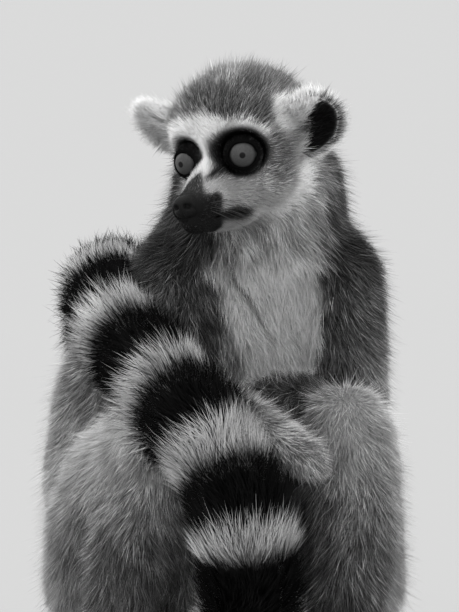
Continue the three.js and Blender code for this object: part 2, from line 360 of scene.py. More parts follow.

# %% [markdown]
# ## The skin's mesh
# The surface is where the field is zero. Meshed straight from the grid it has even squares. The
# front of the face is then cut finer and set back onto the exact field, and the skin under the
# long coat is thinned.

# %% Mesh of the skin
def mesh_of_field(values, origin):
    grid = openvdb.FloatGrid(3 * VOXEL)
    grid.copyFromArray(np.clip(values, -3 * VOXEL, 3 * VOXEL), ijk=tuple(int(v) for v in origin))
    grid.transform = openvdb.createLinearTransform(voxelSize=VOXEL)
    points, quads = grid.convertToQuads(isovalue=0)
    quads = quads.astype(np.int64)
    return points.astype(float), np.vstack([quads[:, [0, 1, 2]], quads[:, [0, 2, 3]]])


def largest_piece(points, faces):
    """Drops every piece of a mesh but the one with the most points."""
    label = np.arange(len(points))
    while True:
        lowest = label[faces].min(1)
        new = label.copy()
        np.minimum.at(new, faces.ravel(), np.repeat(lowest, 3))
        new = new[new]
        if np.array_equal(new, label):
            break
        label = new
    keep = label == np.bincount(label).argmax()
    place = np.cumsum(keep) - 1
    return points[keep], place[faces[keep[faces[:, 0]]]]


def sample(values, points):
    """Straight interpolation of a 3-D array at points in mm."""
    place = points / VOXEL - low
    first = np.clip(place.astype(int), 0, np.array(values.shape) - 2)
    f = place - first
    total = 0
    for step in np.ndindex(2, 2, 2):
        weight = np.prod(np.where(step, f, 1 - f), axis=1)
        total = total + weight * values[tuple((first + step).T)]
    return total


def exact(points):
    """The skin's distance at any point, with the face's detail worked out afresh."""
    base = sample(base_field, points)
    local = to_head(points)
    near = inside_face(local)
    base[near] = detailed(local[near], base[near])
    return base


def slope(points, reach=0.4):
    steps = reach * np.eye(3)
    return np.stack([exact(points + s) - exact(points - s) for s in steps], 1) / (2 * reach)


def settle(points, rounds):
    """Moves points onto the zero of the exact field."""
    for _ in range(rounds):
        g = slope(points)
        points = points - (exact(points) / np.maximum((g * g).sum(1), 0.25))[:, None] * g
    return points


def refined(points, faces, chosen):
    """Cuts the chosen triangles in four, and their neighbours so that no gap opens."""
    edges = np.sort(faces[:, [0, 1, 1, 2, 2, 0]].reshape(-1, 2), axis=1)
    _, index, inverse = np.unique(edges @ [len(points), 1], return_index=True, return_inverse=True)
    inverse = inverse.reshape(-1, 3)
    marked = np.zeros(len(index), bool)
    marked[inverse[chosen]] = True
    middle = np.full(len(index), -1)
    middle[marked] = len(points) + np.arange(marked.sum())
    points = np.vstack([points, points[edges[index[marked]]].mean(1)])
    mids = middle[inverse]
    count = (mids >= 0).sum(1)
    out = [faces[count == 0]]
    for turned in range(3):
        f, m = np.roll(faces, -turned, 1), np.roll(mids, -turned, 1)
        one = (count == 1) & (m[:, 0] >= 0)
        a, b, c, ab = *f[one].T, m[one, 0]
        out += [np.stack([a, ab, c], 1), np.stack([ab, b, c], 1)]
        two = (count == 2) & (m[:, 2] < 0)
        a, b, c, ab, bc = *f[two].T, m[two, 0], m[two, 1]
        out += [np.stack([ab, b, bc], 1), np.stack([a, ab, bc], 1), np.stack([a, bc, c], 1)]
    a, b, c, ab, bc, ca = *faces[count == 3].T, *mids[count == 3].T
    out += [np.stack(t, 1) for t in ((a, ab, ca), (ab, b, bc), (ca, bc, c), (ab, bc, ca))]
    return points, np.vstack(out)


points, faces = largest_piece(*mesh_of_field(skin_field, low))
print("even mesh:", len(faces), "triangles")

# %% [markdown]
# ## A finer face
# The short hair of the face hides little, so its triangles are cut in four and set back onto
# the exact field. Three small helpers make meshes from arrays and read them back.

# %% Finer where it shows, coarser under the coat
FINE_FROM = 24  # the face is cut finer ahead of this y in the head's frame, mm


def new_mesh(name, points, faces):
    """A mesh object from points in mm and triangles."""
    mesh = bpy.data.meshes.new(name)
    mesh.vertices.add(len(points))
    mesh.vertices.foreach_set("co", (points * MM).astype(np.float32).ravel())
    mesh.loops.add(faces.size)
    mesh.loops.foreach_set("vertex_index", faces.astype(np.int32).ravel())
    mesh.polygons.add(len(faces))
    mesh.polygons.foreach_set("loop_start", np.arange(len(faces), dtype=np.int32) * 3)
    mesh.update()
    mesh.polygons.foreach_set("use_smooth", np.ones(len(faces), bool))
    made = bpy.data.objects.new(name, mesh)
    bpy.context.scene.collection.objects.link(made)
    return made


def baked(made):
    """Puts an object's modifiers into its mesh and takes them off."""
    graph = bpy.context.evaluated_depsgraph_get()
    mesh = bpy.data.meshes.new_from_object(made.evaluated_get(graph))
    made.modifiers.clear()
    old, made.data = made.data, mesh
    bpy.data.meshes.remove(old)
    mesh.name = made.name
    return made


def mesh_arrays(made):
    """A mesh object's points in mm, triangles and point normals."""
    mesh = made.data
    mesh.calc_loop_triangles()
    points = np.empty(len(mesh.vertices) * 3, np.float32)
    mesh.vertices.foreach_get("co", points)
    normals = np.empty(len(mesh.vertices) * 3, np.float32)
    mesh.vertices.foreach_get("normal", normals)
    triangles = np.empty(len(mesh.loop_triangles) * 3, np.int32)
    mesh.loop_triangles.foreach_get("vertices", triangles)
    return points.reshape(-1, 3) / MM, triangles.reshape(-1, 3), normals.reshape(-1, 3)


middle = to_head(points[faces].mean(1))
in_face = inside_face(middle) & (middle[:, 1] < FINE_FROM)
points, faces = refined(points, faces, in_face)
near = inside_face(to_head(points))
points[near] = settle(points[near], 3)
one, two, three = (points[faces[:, k]] for k in range(3))
turned_in = np.einsum("ij,ij->i", one, np.cross(two, three)).sum() < 0
if turned_in:
    faces = faces[:, ::-1]
print("with a fine face:", len(faces), "triangles")
skin = new_mesh("skin", points, faces)

# %% [markdown]
# ## A coarser body
# Under long hair the skin needs few triangles. The hands, feet, ears and head keep theirs.

# %% Thin the skin under the coat
FINE_KINDS = ("hand", "foot", "ear", "head", "jaw", "nose")
THINNING = 0.36  # share of all triangles that is left


def kinds_at(points):
    """The kind of part nearest to each point."""
    return np.array([kind_of(name) for name in flesh])[nearest_nodes(points)]


covered = ~np.isin(kinds_at(points), FINE_KINDS)
skin.vertex_groups.new(name="covered").add(np.flatnonzero(covered).tolist(), 1.0, "REPLACE")
thin = skin.modifiers.new("thin", "DECIMATE")
thin.ratio, thin.vertex_group, thin.vertex_group_factor = THINNING, "covered", 1.0
baked(skin)
skin.vertex_groups.clear()
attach(skin, "root")
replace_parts(skin, *(name for name in flesh if name != "nose"))
print("skin:", len(skin.data.polygons), "triangles")

# %% [markdown]
# ## Camera, light and floor
# The model stands on a pale floor that is wide enough to fill the view behind it. The light is
# soft and comes from all round. Three wide lamps, high behind and low behind on both sides,
# draw the bright rim that long hair catches, and a fourth in front lights the face.

# %% Camera, light and floor
AIM = np.array([11.75, -72, 199.5])
DISTANCE, ELEVATION = 3000, 3
VIEW_HEIGHT = 306  # what the frame's long side takes in at the aim, mm
SENSOR = 36
LIGHTS = [("light from behind", 168, 50, 0.65, 35),  # name, azimuth, elevation, strength, spread
          ("light from behind on the left", -118, 32, 0.8, 40),
          ("light from behind on the right", 118, 32, 0.8, 40),
          ("front light", -30, 50, 0.95, 60)]
ROOM_LIGHT = 1.35
FLOOR, FLOOR_TONE = 400.0, 0.35  # half width in metres, and its grey

camera = bpy.data.objects.new("camera", bpy.data.cameras.new("camera"))
bpy.context.scene.collection.objects.link(camera)
rise = math.radians(ELEVATION)
back = np.array([0, -math.cos(rise), math.sin(rise)])
camera.location = (AIM + DISTANCE * back) * MM
camera.rotation_euler = (math.radians(90 - ELEVATION), 0, 0)
camera.data.sensor_width = SENSOR
camera.data.lens = SENSOR * DISTANCE / VIEW_HEIGHT
camera.data.clip_end = 1000
bpy.context.scene.camera = camera


def soft_sun(name, azimuth, elevation, strength, spread):
    """A wide soft light from far away. Azimuth 0 is behind the camera and 180 behind the model."""
    sun = bpy.data.objects.new(name, bpy.data.lights.new(name, "SUN"))
    sun.data.energy, sun.data.angle = strength, math.radians(spread)
    sun.rotation_euler = (math.radians(90 - elevation), 0, math.radians(azimuth))
    bpy.context.scene.collection.objects.link(sun)


for lamp in LIGHTS:
    soft_sun(*lamp)

world = bpy.data.worlds.new("studio")
bpy.context.scene.world = world
world.use_nodes = True
sky = world.node_tree.nodes["Background"].inputs
sky["Color"].default_value = (1, 1, 1, 1)
sky["Strength"].default_value = ROOM_LIGHT
bpy.context.scene.view_settings.view_transform = "Standard"

floor_mesh = bpy.data.meshes.new("floor")
floor_mesh.from_pydata([(-FLOOR, -FLOOR, 0), (FLOOR, -FLOOR, 0), (FLOOR, FLOOR, 0), (-FLOOR, FLOOR, 0)],
                       [], [(0, 1, 2, 3)])
floor = bpy.data.objects.new("floor", floor_mesh)
bpy.context.scene.collection.objects.link(floor)
pale = bpy.data.materials.new("pale floor")
pale.use_nodes = True
paint = pale.node_tree.nodes["Principled BSDF"].inputs
paint["Base Color"].default_value = (FLOOR_TONE, FLOOR_TONE, FLOOR_TONE, 1)
paint["Roughness"].default_value = 0.9
paint["Specular IOR Level"].default_value = 0.0
floor_mesh.materials.append(pale)
print("lens", round(camera.data.lens), "mm,", len(LIGHTS), "lamps")

# %% [markdown]
# ## Which way the hair lies
# Every point of the skin is given the coat's numbers of the part that it belongs to, and a
# direction for its hair: down the back, chest and limbs, back from the nose over the head,
# away from the eyes, outwards on the ears and from root to tip along the tail. The values are
# then spread over the skin from point to point, so that one part's coat runs into the next.

# %% The coat's numbers at each point of the skin
skin_points, skin_faces, skin_normals = mesh_arrays(skin)
skin_nodes = nearest_nodes(skin_points)
node_kinds = [kind_of(name) for name in flesh]

LIE = {
    "trunk": (0.05, 0.10, -1.0), "neck": (0.10, 0.05, -1.0),
    "upper_arm_left": (0.45, 0.10, -1.0), "upper_arm_right": (-0.2, -0.4, -1.0),
    "forearm_left": (-0.8, -0.6, -0.25), "forearm_right": (0.85, -0.2, -0.55),
    "thigh_left": (0.35, -0.25, -0.8), "thigh_right": (-0.3, -0.25, -0.8),
    "shin": (0.0, 0.10, -1.0),
    "hand_left": (-0.15, -0.2, -0.97), "hand_right": (-0.82, 0.28, -0.5),
    "foot_left": (0.2, -0.98, -0.1), "foot_right": (-0.22, -0.98, -0.1),
}
EYE_SWIRL = 13  # and, within this distance, away from the eye
EARS = {
    # The left ear's near-black bowl is its darkish bare skin with painted shadow of the hollow on it.
    "ear_left": dict(root=(26, 28, -2), middle=(39.5, 29, 9), tip=(58, 30, 24),
                     opens=(0.62, -0.78, -0.3), bowl_tone=0.012, bowl_hair=0.12, dark_to=3.4),
    "ear_right": dict(root=(-26, 26, 4), middle=(-42, 24, 16), tip=(-60, 22, 31),
                      opens=(-0.62, -0.78, -0.3), bowl_tone=0.75, bowl_hair=0.9, dark_to=20),
}
EAR_HOLLOW, EAR_SCOOP = 7, (15, 11.5, 7.5)  # the bowl of the ear: its place and half sizes
EAR_FAN = 9  # the hair fans out to the sides of the ear
HEAD_LENGTHS = [(0, 0.8), (14, 1.2), (24, 2.6), (38, 4.4), (62, 6.0), (90, 7.5)]  # by distance from the nose
LID_HAIR = 1.5  # length of the hair at the rim of the eyelids


def nearest_on_tail(points):
    """The number of the tail path's point that is nearest to each point."""
    return np.concatenate([((part[:, None] - tail_path) ** 2).sum(2).argmin(1)
                           for part in np.array_split(points, len(points) // 4000 + 1)])


def unit(vectors):
    return vectors / np.maximum(np.linalg.norm(vectors, axis=-1, keepdims=True), 1e-9)


def lie_of(node, points):
    """The direction of the hair at points of one part."""
    if node.startswith("tail"):
        return tail_tangent[nearest_on_tail(points)]
    if node in EARS:
        middle, turned = ear_axes(node)
        fan = np.clip((to_head(points) - middle) @ turned[:, 1] / EAR_FAN, -1, 1)
        return unit(turned[:, 0] + fan[:, None] * turned[:, 1]) @ HEAD_AXES.T
    if kind_of(node) in ("head", "jaw", "nose"):
        p = to_head(points)
        away = unit(p - NOSE_TIP)
        for way in SIDES.values():
            from_eye = p - eye_centre(way)
            near = np.clip(1.6 - np.linalg.norm(from_eye, axis=1) / EYE_SWIRL, 0, 1)[:, None]
            away = unit(away * (1 - near) + unit(from_eye) * near)
        return away @ HEAD_AXES.T
    towards = next(v for k, v in LIE.items() if node.startswith(k))
    return unit(np.tile(np.array(towards, float), (len(points), 1)))


def ear_axes(node):
    """An ear's middle and its axes, along it, across it and out of its bowl, in the head's frame."""
    ear = EARS[node]
    along = unit(np.subtract(ear["tip"], ear["root"]).astype(float))
    out = np.array(ear["opens"]) - along * (along @ ear["opens"])
    out = unit(out)
    return np.array(ear["middle"]) + out * EAR_HOLLOW, np.stack([along, np.cross(out, along), out], 1)


def bowl_distance(p, node):
    """Below zero inside the bare part of an ear's bowl. Its front edge is under the ear's tuft."""
    middle, turned_axes = ear_axes(node)
    inside = ellipsoid_distance((p - middle) @ turned_axes, (0, 0, 0), EAR_SCOOP)
    return np.maximum(inside, (p - middle) @ turned_axes[:, 1] - EARS[node]["dark_to"] + 2)


lie = np.zeros_like(skin_points)
for k, name in enumerate(flesh):
    chosen = skin_nodes == k
    if chosen.any():
        lie[chosen] = lie_of(name, skin_points[chosen])
columns = ("length", "width", "dense", "lift")
numbers = np.array([[COAT[kind][c] for c in columns] for kind in node_kinds], float)[skin_nodes]

pairs = np.unique(np.sort(skin_faces[:, [0, 1, 1, 2, 2, 0]].reshape(-1, 2), 1), axis=0)
pairs = np.vstack([pairs, pairs[:, ::-1]])
neighbours = np.bincount(pairs[:, 0], minlength=len(skin_points))


def spread(values, rounds):
    """Evens out values over the skin: each point takes on half of its neighbours' mean."""
    for _ in range(rounds):
        sums = np.stack([np.bincount(pairs[:, 0], v[pairs[:, 1]], len(values)) for v in values.T], 1)
        values = 0.5 * values + 0.5 * sums / np.maximum(neighbours, 1)[:, None]
    return values


maps = spread(np.hstack([lie, numbers]), 14)
lie, numbers = maps[:, :3], maps[:, 3:]
print("hair maps on", len(skin_points), "points")

# %% [markdown]
# ## Where the coat is seen
# Between the belly and the thighs, and under the seat, no one sees the coat. A few rays from
# each point of the skin tell how open the place is; closed places get few tufts, and later painted shade.

# %% Openness of the skin
LOOK_OUT = 0.12  # how far the rays go, m
OPEN_FROM, OPEN_TO, LEAST_DENSE = 0.10, 0.40, 0.10
RAYS = 7

skin_tree = BVHTree.FromPolygons((skin_points * MM).tolist(), skin_faces.tolist())
guide = np.cross(skin_normals, [0.31, 0.52, 0.79])
first_side = unit(guide)
second_side = np.cross(skin_normals, first_side)
hits = np.zeros(len(skin_points))
for k in range(RAYS):
    turned_by, lean = 2.4 * k, math.radians(0 if k == 0 else 55)
    outward = first_side * math.cos(turned_by) + second_side * math.sin(turned_by)
    ray = skin_normals * math.cos(lean) + outward * math.sin(lean)
    starts = (skin_points + skin_normals * 1.5) * MM
    hits += [skin_tree.ray_cast(p, d, LOOK_OUT)[0] is not None for p, d in zip(starts.tolist(), ray.tolist())]
openness = spread((1 - hits / RAYS)[:, None], 6)[:, 0]
seen = np.clip((openness - OPEN_FROM) / (OPEN_TO - OPEN_FROM), 0, 1)
seen = LEAST_DENSE + (1 - LEAST_DENSE) * seen * seen * (3 - 2 * seen)
print("mean openness", round(float(openness.mean()), 2))

# %% [markdown]
# ## Markings
# One function gives the tone of skin and hair alike, from where a point is: a dark cap over a
# white face, black rings round the eyes, a black muzzle, a pale bib between grey shoulders, and
# black bands along the tail. Each mark is a simple shape with a soft edge. The tone is a grey,
# as a share of the light that is given back.

# %% Tones of the head
WHITE, BLACK = 0.95, 0.008
CAP_EDGE = [(-32, 6), (-25, 17.5), (-15, 20), (0, 22), (4.6, 19.8),  # x, height
            (15, 17), (21, 17), (27.5, 11), (31, 3)]
PATCHES = {1: dict(middle=(1.8, 1.6), halves=(15.8, 12.6)),  # towards the nose and up from the eye's centre
           -1: dict(middle=(-1.4, 1.7), halves=(12.0, 11.8))}
PATCH_POINT = [(9, -3.2), (18.5, -7.5)]
TEAR_WIDTHS = {1: (4.6, 1.2), -1: (1.0, -3.0)}  # the left eye's mark reaches further
BRIDGE_APEX, BRIDGE_FLARES = -17, {1: 0.62, -1: 1.1}  # by side
MUZZLE_SIDE = dict(y=-19.8, z=-14.5)
MOUTH_CORNER = dict(at=(9.6, -9.5, -27.2), radius=4.0)
LIP_WIDTH = 3.3
EAR_TUFT = dict(at=(32, 18, 15), halves=(8, 10, 10.5))  # white hair before the left ear


def edge(distance, softness):
    """1 where the distance is well below zero, 0 where it is well above."""
    return 0.5 - 0.5 * np.tanh(distance / softness)


def waves(points, size, seed):
    """Smooth noise of about unit size that changes over about size mm."""
    own = np.random.default_rng(seed)
    turns = own.normal(size=(3, 14)) * 2 * math.pi / size / 1.7
    return np.sin(points @ turns + own.uniform(0, 2 * math.pi, 14)).sum(1) / math.sqrt(7)


def blend(tone, mark, share):
    return tone + (mark - tone) * share


def patch_distance(p, way):
    """How far outside the black ring round an eye a point of the face lies."""
    across, up, forward = eye_places(p, way)
    medial = across * way
    q = np.stack([medial, up], -1)
    patch = PATCHES[way]
    ring = (np.linalg.norm((q - patch["middle"]) / patch["halves"], axis=-1) - 1) * patch["halves"][1]
    tear = line_distance(q, PATCH_POINT) - np.interp(medial, (9, 18.5), TEAR_WIDTHS[way])
    return np.where(forward > -8, smooth_min(ring, tear, 2.0), 20)


def muzzle_distance(p):
    """How far outside the black of the muzzle and lips a point lies."""
    x, y, z = np.abs(p[..., 0]), p[..., 1], p[..., 2]
    flare = np.where(p[..., 0] > 0, BRIDGE_FLARES[1], BRIDGE_FLARES[-1])
    bridge = (x - flare * (BRIDGE_APEX - y)) * 0.85
    side = smooth_max(y - MUZZLE_SIDE["y"], z - MUZZLE_SIDE["z"], 4.0)
    lips = line_distance(np.stack([x, y, z], -1), MOUTH) - LIP_WIDTH
    corner = np.linalg.norm(np.stack([x, y, z], -1) - MOUTH_CORNER["at"], axis=-1) - MOUTH_CORNER["radius"]
    lips = smooth_min(lips, corner, 1.0)
    return smooth_min(smooth_min(np.maximum(bridge, y + 14), side, 3.5), lips, 1.5)


def head_tone(p):
    """The tone at points of the head, in its own frame."""
    x, y, z = np.abs(p[:, 0]), p[:, 1], p[:, 2]
    tone = np.full(len(p), 0.40)  # cheeks
    tone = blend(tone, 0.95, edge(19 - y, 5) * edge(z + 3, 4) * edge(-36 - z, 4))  # below the ear
    nape = edge(20 - y, 4) * edge(x - np.interp(y, (20, 60), (13, 26)), 3)
    tone = blend(tone, 0.09, nape * edge(z - 3, 4))
    tone = blend(tone, 0.20, edge(np.hypot((y - 8) / 1.1, z + 8) - 12, 3.0) * edge(18 - x, 4))  # temple
    cap_edge = np.interp(p[:, 0], *zip(*CAP_EDGE))
    white = edge(z - cap_edge, 1.2) * edge(y - 5.5, 2.5) * edge(-6 - z, 3)
    tone = blend(tone, WHITE, white)
    above = edge(cap_edge - z, 1.2)
    behind = edge(6.5 - y, 2.0) * edge(3 - z, 4)
    tone = blend(tone, blend(0.10, 0.17, edge(34 - z, 4)), np.maximum(above, behind))
    tuft = np.linalg.norm((p - EAR_TUFT["at"]) / EAR_TUFT["halves"], axis=1) - 1
    tone = blend(tone, WHITE, edge(tuft, 0.12))
    for way in SIDES.values():
        tone = blend(tone, BLACK, edge(patch_distance(p, way), 1.3) * edge(-way * p[:, 0] - 2, 2))
    shade = blend(0.055, BLACK * 2.6, edge(z + 14, 3))  # the bridge is a little lighter than the tip
    return blend(tone, shade, edge(muzzle_distance(p), 0.9))


print("tone of the forehead", head_tone(np.array([[0.0, -8.0, 16.0]])).round(2))


# %% [markdown]
# ## Markings of the body and tail
# The body is dark on the shoulders and paler towards the ground, with a white bib. These greys
# are partly the coat's own and partly painted: shade under the head and on the low legs, light
# on the low flanks and the knee tops. The tail's bands are places along its line, so that they
# ring it at right angles.

# %% Tones of the body and tail
# Own grey of the coat, darkest on the back, with painted shade on the shoulders under the head and painted
# light on the low flanks.
GREY_RISE = [(50, 0.34), (130, 0.29), (180, 0.12), (225, 0.034)]  # height, tone of the flanks
BIB_EDGES = [(160, 17, 62), (187, 9, 66), (215, 4, 54), (236, 9, 55), (258, 12, 60)]  # height, right, left
EDGE_WAVE = 2.2
BIB_BACK = [(200, -30), (230, -45), (250, -60), (275, -74)]  # height, how far back the bib reaches
BIB_CREASE_SHADOW = [(8, 228), (15, 214), (24, 200), (32, 184)]  # painted shadow of a fold over the bib: left of middle, height
# Legs darker towards the ground: painted shade low on the shins, and painted light on the knee tops.
LEG_RISE = [(40, 0.10), (85, 0.14), (130, 0.42)]
FOREARM_TONES = {"left": 0.08, "right": 0.29}
BLACK_BANDS = [30, 84, 141, 184, 237, 284, 334, 384, 440, 494]  # middles along the tail, mm
BAND_HALF = 16
# The tail's white is set far darker than the face's white: painted shade over the tail's white bands.
TAIL_WHITE = 0.37
TAIL_END = 30  # the tip is black over this length


def body_tone(p, name):
    """The tone at points of one part of the body."""
    kind = kind_of(name)
    x, y, z = p.T
    if kind == "tail":
        run = tail_run[nearest_on_tail(p)]
        middle = np.abs(run[:, None] - np.array(BLACK_BANDS)).min(1)
        black = np.maximum(edge(middle - BAND_HALF, 0.8), edge(tail_run[-1] - TAIL_END - run, 0.8))
        return blend(TAIL_WHITE, BLACK * 0.6, black)
    if kind in ("trunk", "neck", "upper_arm"):
        grey = np.interp(z, *zip(*GREY_RISE))
        heights, right, left = zip(*BIB_EDGES)
        outside = np.maximum(np.interp(z, heights, right) - x, x - np.interp(z, heights, left))
        outside = outside + EDGE_WAVE * waves(p, 12, 7)
        bib = edge(outside, 4) * edge(y - np.interp(z, *zip(*BIB_BACK)), 5) * (kind != "upper_arm")
        crease_shadow = line_distance(np.stack([x, z], 1), BIB_CREASE_SHADOW) - 1.2
        # Above a height of 223 the white is dimmed to 0.42: painted shade on the throat under the chin.
        white = blend(0.95, 0.42, edge(223 - z, 6)) * np.exp(0.16 * waves(p * [1.6, 1, 0.7], 14, 8))
        # A near-black line along the crease is painted shadow of the fold over the bib.
        return blend(blend(grey, white, bib), 0.06, bib * edge(crease_shadow, 0.9))
    if kind in ("thigh", "shin"):
        return blend(np.interp(z, *zip(*LEG_RISE)), np.interp(z, *zip(*GREY_RISE)), edge(-42 - y, 12))
    if kind == "forearm":
        return blend(FOREARM_TONES[name.split("_")[1]], 0.2, edge(-45 - y, 10))
    return np.full(len(p), 0.26)


def tone_at(points, nodes):
    """Tone at points of the skin, whose nearest parts are given by number."""
    tone = np.empty(len(points))
    for k, (name, kind) in enumerate(zip(flesh, node_kinds)):
        chosen = nodes == k
        if not chosen.any():
            continue
        if kind in ("head", "jaw", "nose"):
            tone[chosen] = head_tone(to_head(points[chosen]))
        elif kind == "ear":
            # The bowl's tone: bare skin, on the left ear darkened by painted shadow of the hollow.
            bowl = edge(bowl_distance(to_head(points[chosen]), name) - 2.8, 0.6)
            tone[chosen] = blend(0.97, EARS[name]["bowl_tone"], bowl)
        else:
            tone[chosen] = body_tone(points[chosen], name)
    return tone


print("tone of the skin: mean", round(float(tone_at(skin_points, skin_nodes).mean()), 3))

# %% [markdown]
# ## The coat
# Real fur has far more hairs than a model can hold, so each piece of mesh here is a tuft: a few
# hairs that lie together. On the tail and ears a tuft is a slim closed spindle of six
# triangles: it starts in the skin, is widest near its middle, bends over and ends in a point.
# Everywhere else it is a thin straight spike of four, which saves a third of the triangles.
# First we choose where the tufts stand, more of them where the coat is dense and can be seen.

# %% Roots of the tufts
rng = np.random.default_rng(11)
SHORT_KINDS = ("head", "jaw", "nose", "hand", "foot")
BENT_KINDS = ("tail", "ear")


def bare_distance(p):
    """Below zero where the head has no hair, at points in its frame: eyes, nose and lips."""
    bare = ellipsoid_distance(p, (0, -37, -18), (6.4, 6.0, 5.6))
    for way in SIDES.values():
        across, up, forward = eye_places(p, way)
        wide, tall = OPENINGS[way]
        rim = (np.hypot(across / (wide + 1.3), up / (tall + 1.3)) - 1) * tall
        bare = np.minimum(bare, np.where((forward > -2) & (forward < 14), rim, 5))
        bare = np.minimum(bare, line_distance(mirrored(p, way), MOUTH) - 0.9)
    return bare


face_at = skin_points[skin_faces]
face_cross = np.cross(face_at[:, 1] - face_at[:, 0], face_at[:, 2] - face_at[:, 0])
area = 0.5 * np.linalg.norm(face_cross, axis=1)
face_middle = face_at.mean(1)
face_node = skin_nodes[skin_faces[:, 0]]
face_kind = np.array(node_kinds)[face_node]
dense = numbers[skin_faces, columns.index("dense")].mean(1) * seen[skin_faces].mean(1)
dense[np.isin(face_kind, ("hand", "foot")) & (unit(face_cross)[:, 2] < -0.35)] = 0  # soles
dense[bare_distance(to_head(face_middle)) < 0] = 0
dense[face_middle[:, 2] < 1.5] = 0
for k, name in enumerate(flesh):
    if name in EARS:
        chosen = face_node == k
        bowl = bowl_distance(to_head(face_middle[chosen]), name)
        dense[chosen] *= np.interp(bowl, (0.5, 3.5), (EARS[name]["bowl_hair"], 1))

wanted = np.cumsum(area * dense)
count = int(wanted[-1])
root_face = np.searchsorted(wanted, (np.arange(count) + rng.random(count)) * wanted[-1] / count)
root_face = np.minimum(root_face, len(area) - 1)
a, b = rng.random((2, count))
a, b = np.where(a + b > 1, 1 - a, a), np.where(a + b > 1, 1 - b, b)
shares = np.stack([1 - a - b, a, b], 1)[..., None]
roots = (face_at[root_face] * shares).sum(1)
root_normals = unit((skin_normals[skin_faces[root_face]] * shares).sum(1))
root_lie = (lie[skin_faces[root_face]] * shares).sum(1)
root_numbers = (numbers[skin_faces[root_face]] * shares).sum(1)
root_nodes = face_node[root_face]
root_kinds = np.array(node_kinds)[root_nodes]
print("tufts:", count, {str(k): int((root_kinds == k).sum()) for k in np.unique(root_kinds)})

# %% [markdown]
# ## How a tuft stands and leans
# A tuft rises from the skin, follows the lie of the hair there and strays a little. Tufts near
# each other lean to the same tip, which makes the small locks that woolly fur breaks into.
# A few guard hairs are longer, finer and more upright, and make the soft rim of the coat. They
# are painted paler, which stands in for the glow of backlit hair at the rim.

# %% Shape of the tufts
LOCKS = {"trunk": 2.4, "neck": 2.3, "upper_arm": 2.3, "forearm": 1.9, "thigh": 2.3, "shin": 2.2, "tail": 3.0,
         "head": 1.5, "jaw": 1.3, "ear": 2.0, "hand": 1.6, "foot": 1.6, "nose": 1.6}  # mm across
BIG_LOCK = 3.5  # locks gather into bigger ones, this much wider
LOCK_PULL, BIG_PULL, TAIL_PULL = 0.16, 0.10, 0.7  # the tail's hair gathers less
LOCK_SHADE = 0.14
STRAY = 0.30  # sideways spread of single tufts
SWAY, SWAY_SIZE = 0.30, 26  # slow turns of the coat over the body
GUARD_SHARE, GUARD_LENGTH, GUARD_WIDTH = 0.14, 1.50, 0.75  # a few long fine hairs stand out
# GUARD_PALER paints the guard hairs paler: painted glow of backlit hair.
GUARD_PALER, GUARD_LIFT = 1.9, 20
TAIL_GUARD_LENGTH = 1.12
BEND = 0.42  # how far along a tuft its widest place is
FLOOR_GAP = 0.3


def flat_to(vectors, normals):
    """Vectors laid into the surface."""
    return unit(vectors - (vectors * normals).sum(1)[:, None] * normals)


def lock_of(chosen, spacing):
    """For each chosen root, the root at the middle of its lock."""
    at = roots[chosen]
    size = max(1, int(len(at) / (spacing**2 * root_numbers[chosen, 2].mean())))
    middles = rng.choice(len(at), size, replace=False)
    tree = KDTree(len(middles))
    for k, m in enumerate(middles):
        tree.insert(at[m], k)
    tree.balance()
    return np.flatnonzero(chosen)[middles[[tree.find(p)[1] for p in at.tolist()]]]


length, width, _, lift = root_numbers.T
on_head = np.isin(root_kinds, ("head", "jaw", "nose"))
root_local = to_head(roots[on_head])
length[on_head] = np.interp(np.linalg.norm(root_local - NOSE_TIP, axis=1), *zip(*HEAD_LENGTHS))
for way in SIDES.values():
    rim = np.linalg.norm(root_local - eye_centre(way), axis=1) - EYE_RADIUS
    length[on_head] = np.minimum(length[on_head], LID_HAIR + np.maximum(rim - 2, 0) * 0.5)
width[on_head] *= np.clip(length[on_head] / 4.0, 0.6, 1.0)
length *= rng.lognormal(0, 0.16, count)
width *= rng.lognormal(0, 0.15, count)
bare_of_guards = np.isin(root_kinds, (*SHORT_KINDS, "ear"))
bare_of_guards[on_head] = (root_local[:, 2] < 14) & (root_local[:, 1] < 12)
guard = (rng.random(count) < GUARD_SHARE) & ~bare_of_guards
length[guard] *= np.where(root_kinds[guard] == "tail", TAIL_GUARD_LENGTH, GUARD_LENGTH)
width[guard] *= GUARD_WIDTH
lift = lift + rng.normal(0, 7, count) + np.where(root_kinds == "tail", 4, GUARD_LIFT) * guard
lift = np.radians(lift)

along = flat_to(root_lie, root_normals)
side = np.cross(along, root_normals)
sway = np.where(np.isin(root_kinds, SHORT_KINDS), 0.35, 1.0) * SWAY * waves(roots, SWAY_SIZE, 3)
along = unit(along + side * (sway + rng.normal(0, STRAY, count))[:, None])

rise_in, rise_out = (lift * 1.35)[:, None], (lift * 0.55)[:, None]
reach = length[:, None]
knee = roots + (along * np.cos(rise_in) + root_normals * np.sin(rise_in)) * reach * BEND
tips = knee + (along * np.cos(rise_out) + root_normals * np.sin(rise_out)) * reach * (1 - BEND)
shade_of_lock = np.zeros(count)
for spacing, strength in ((1.0, LOCK_PULL), (BIG_LOCK, BIG_PULL)):
    lock = np.arange(count)
    for kind, own_spacing in LOCKS.items():
        chosen = (root_kinds == kind) & ~guard
        if chosen.any():
            lock[chosen] = lock_of(chosen, own_spacing * spacing)
    pull = (strength * rng.uniform(0.5, 1.2, count) * np.where(root_kinds == "tail", TAIL_PULL, 1))[:, None]
    shade_of_lock += LOCK_SHADE * rng.normal(0, 1, count)[lock]
    tips = tips + (tips[lock] - tips) * pull
    knee = knee + (knee[lock] - knee) * pull * 0.3
forward = unit(tips - knee)
side = flat_to(np.cross(along, root_normals), forward)
over = np.cross(side, forward)
half = width[:, None] * 0.5
start = roots - root_normals * 0.35
print("longest tuft", round(float(np.linalg.norm(tips - roots, axis=1).max()), 1), "mm")
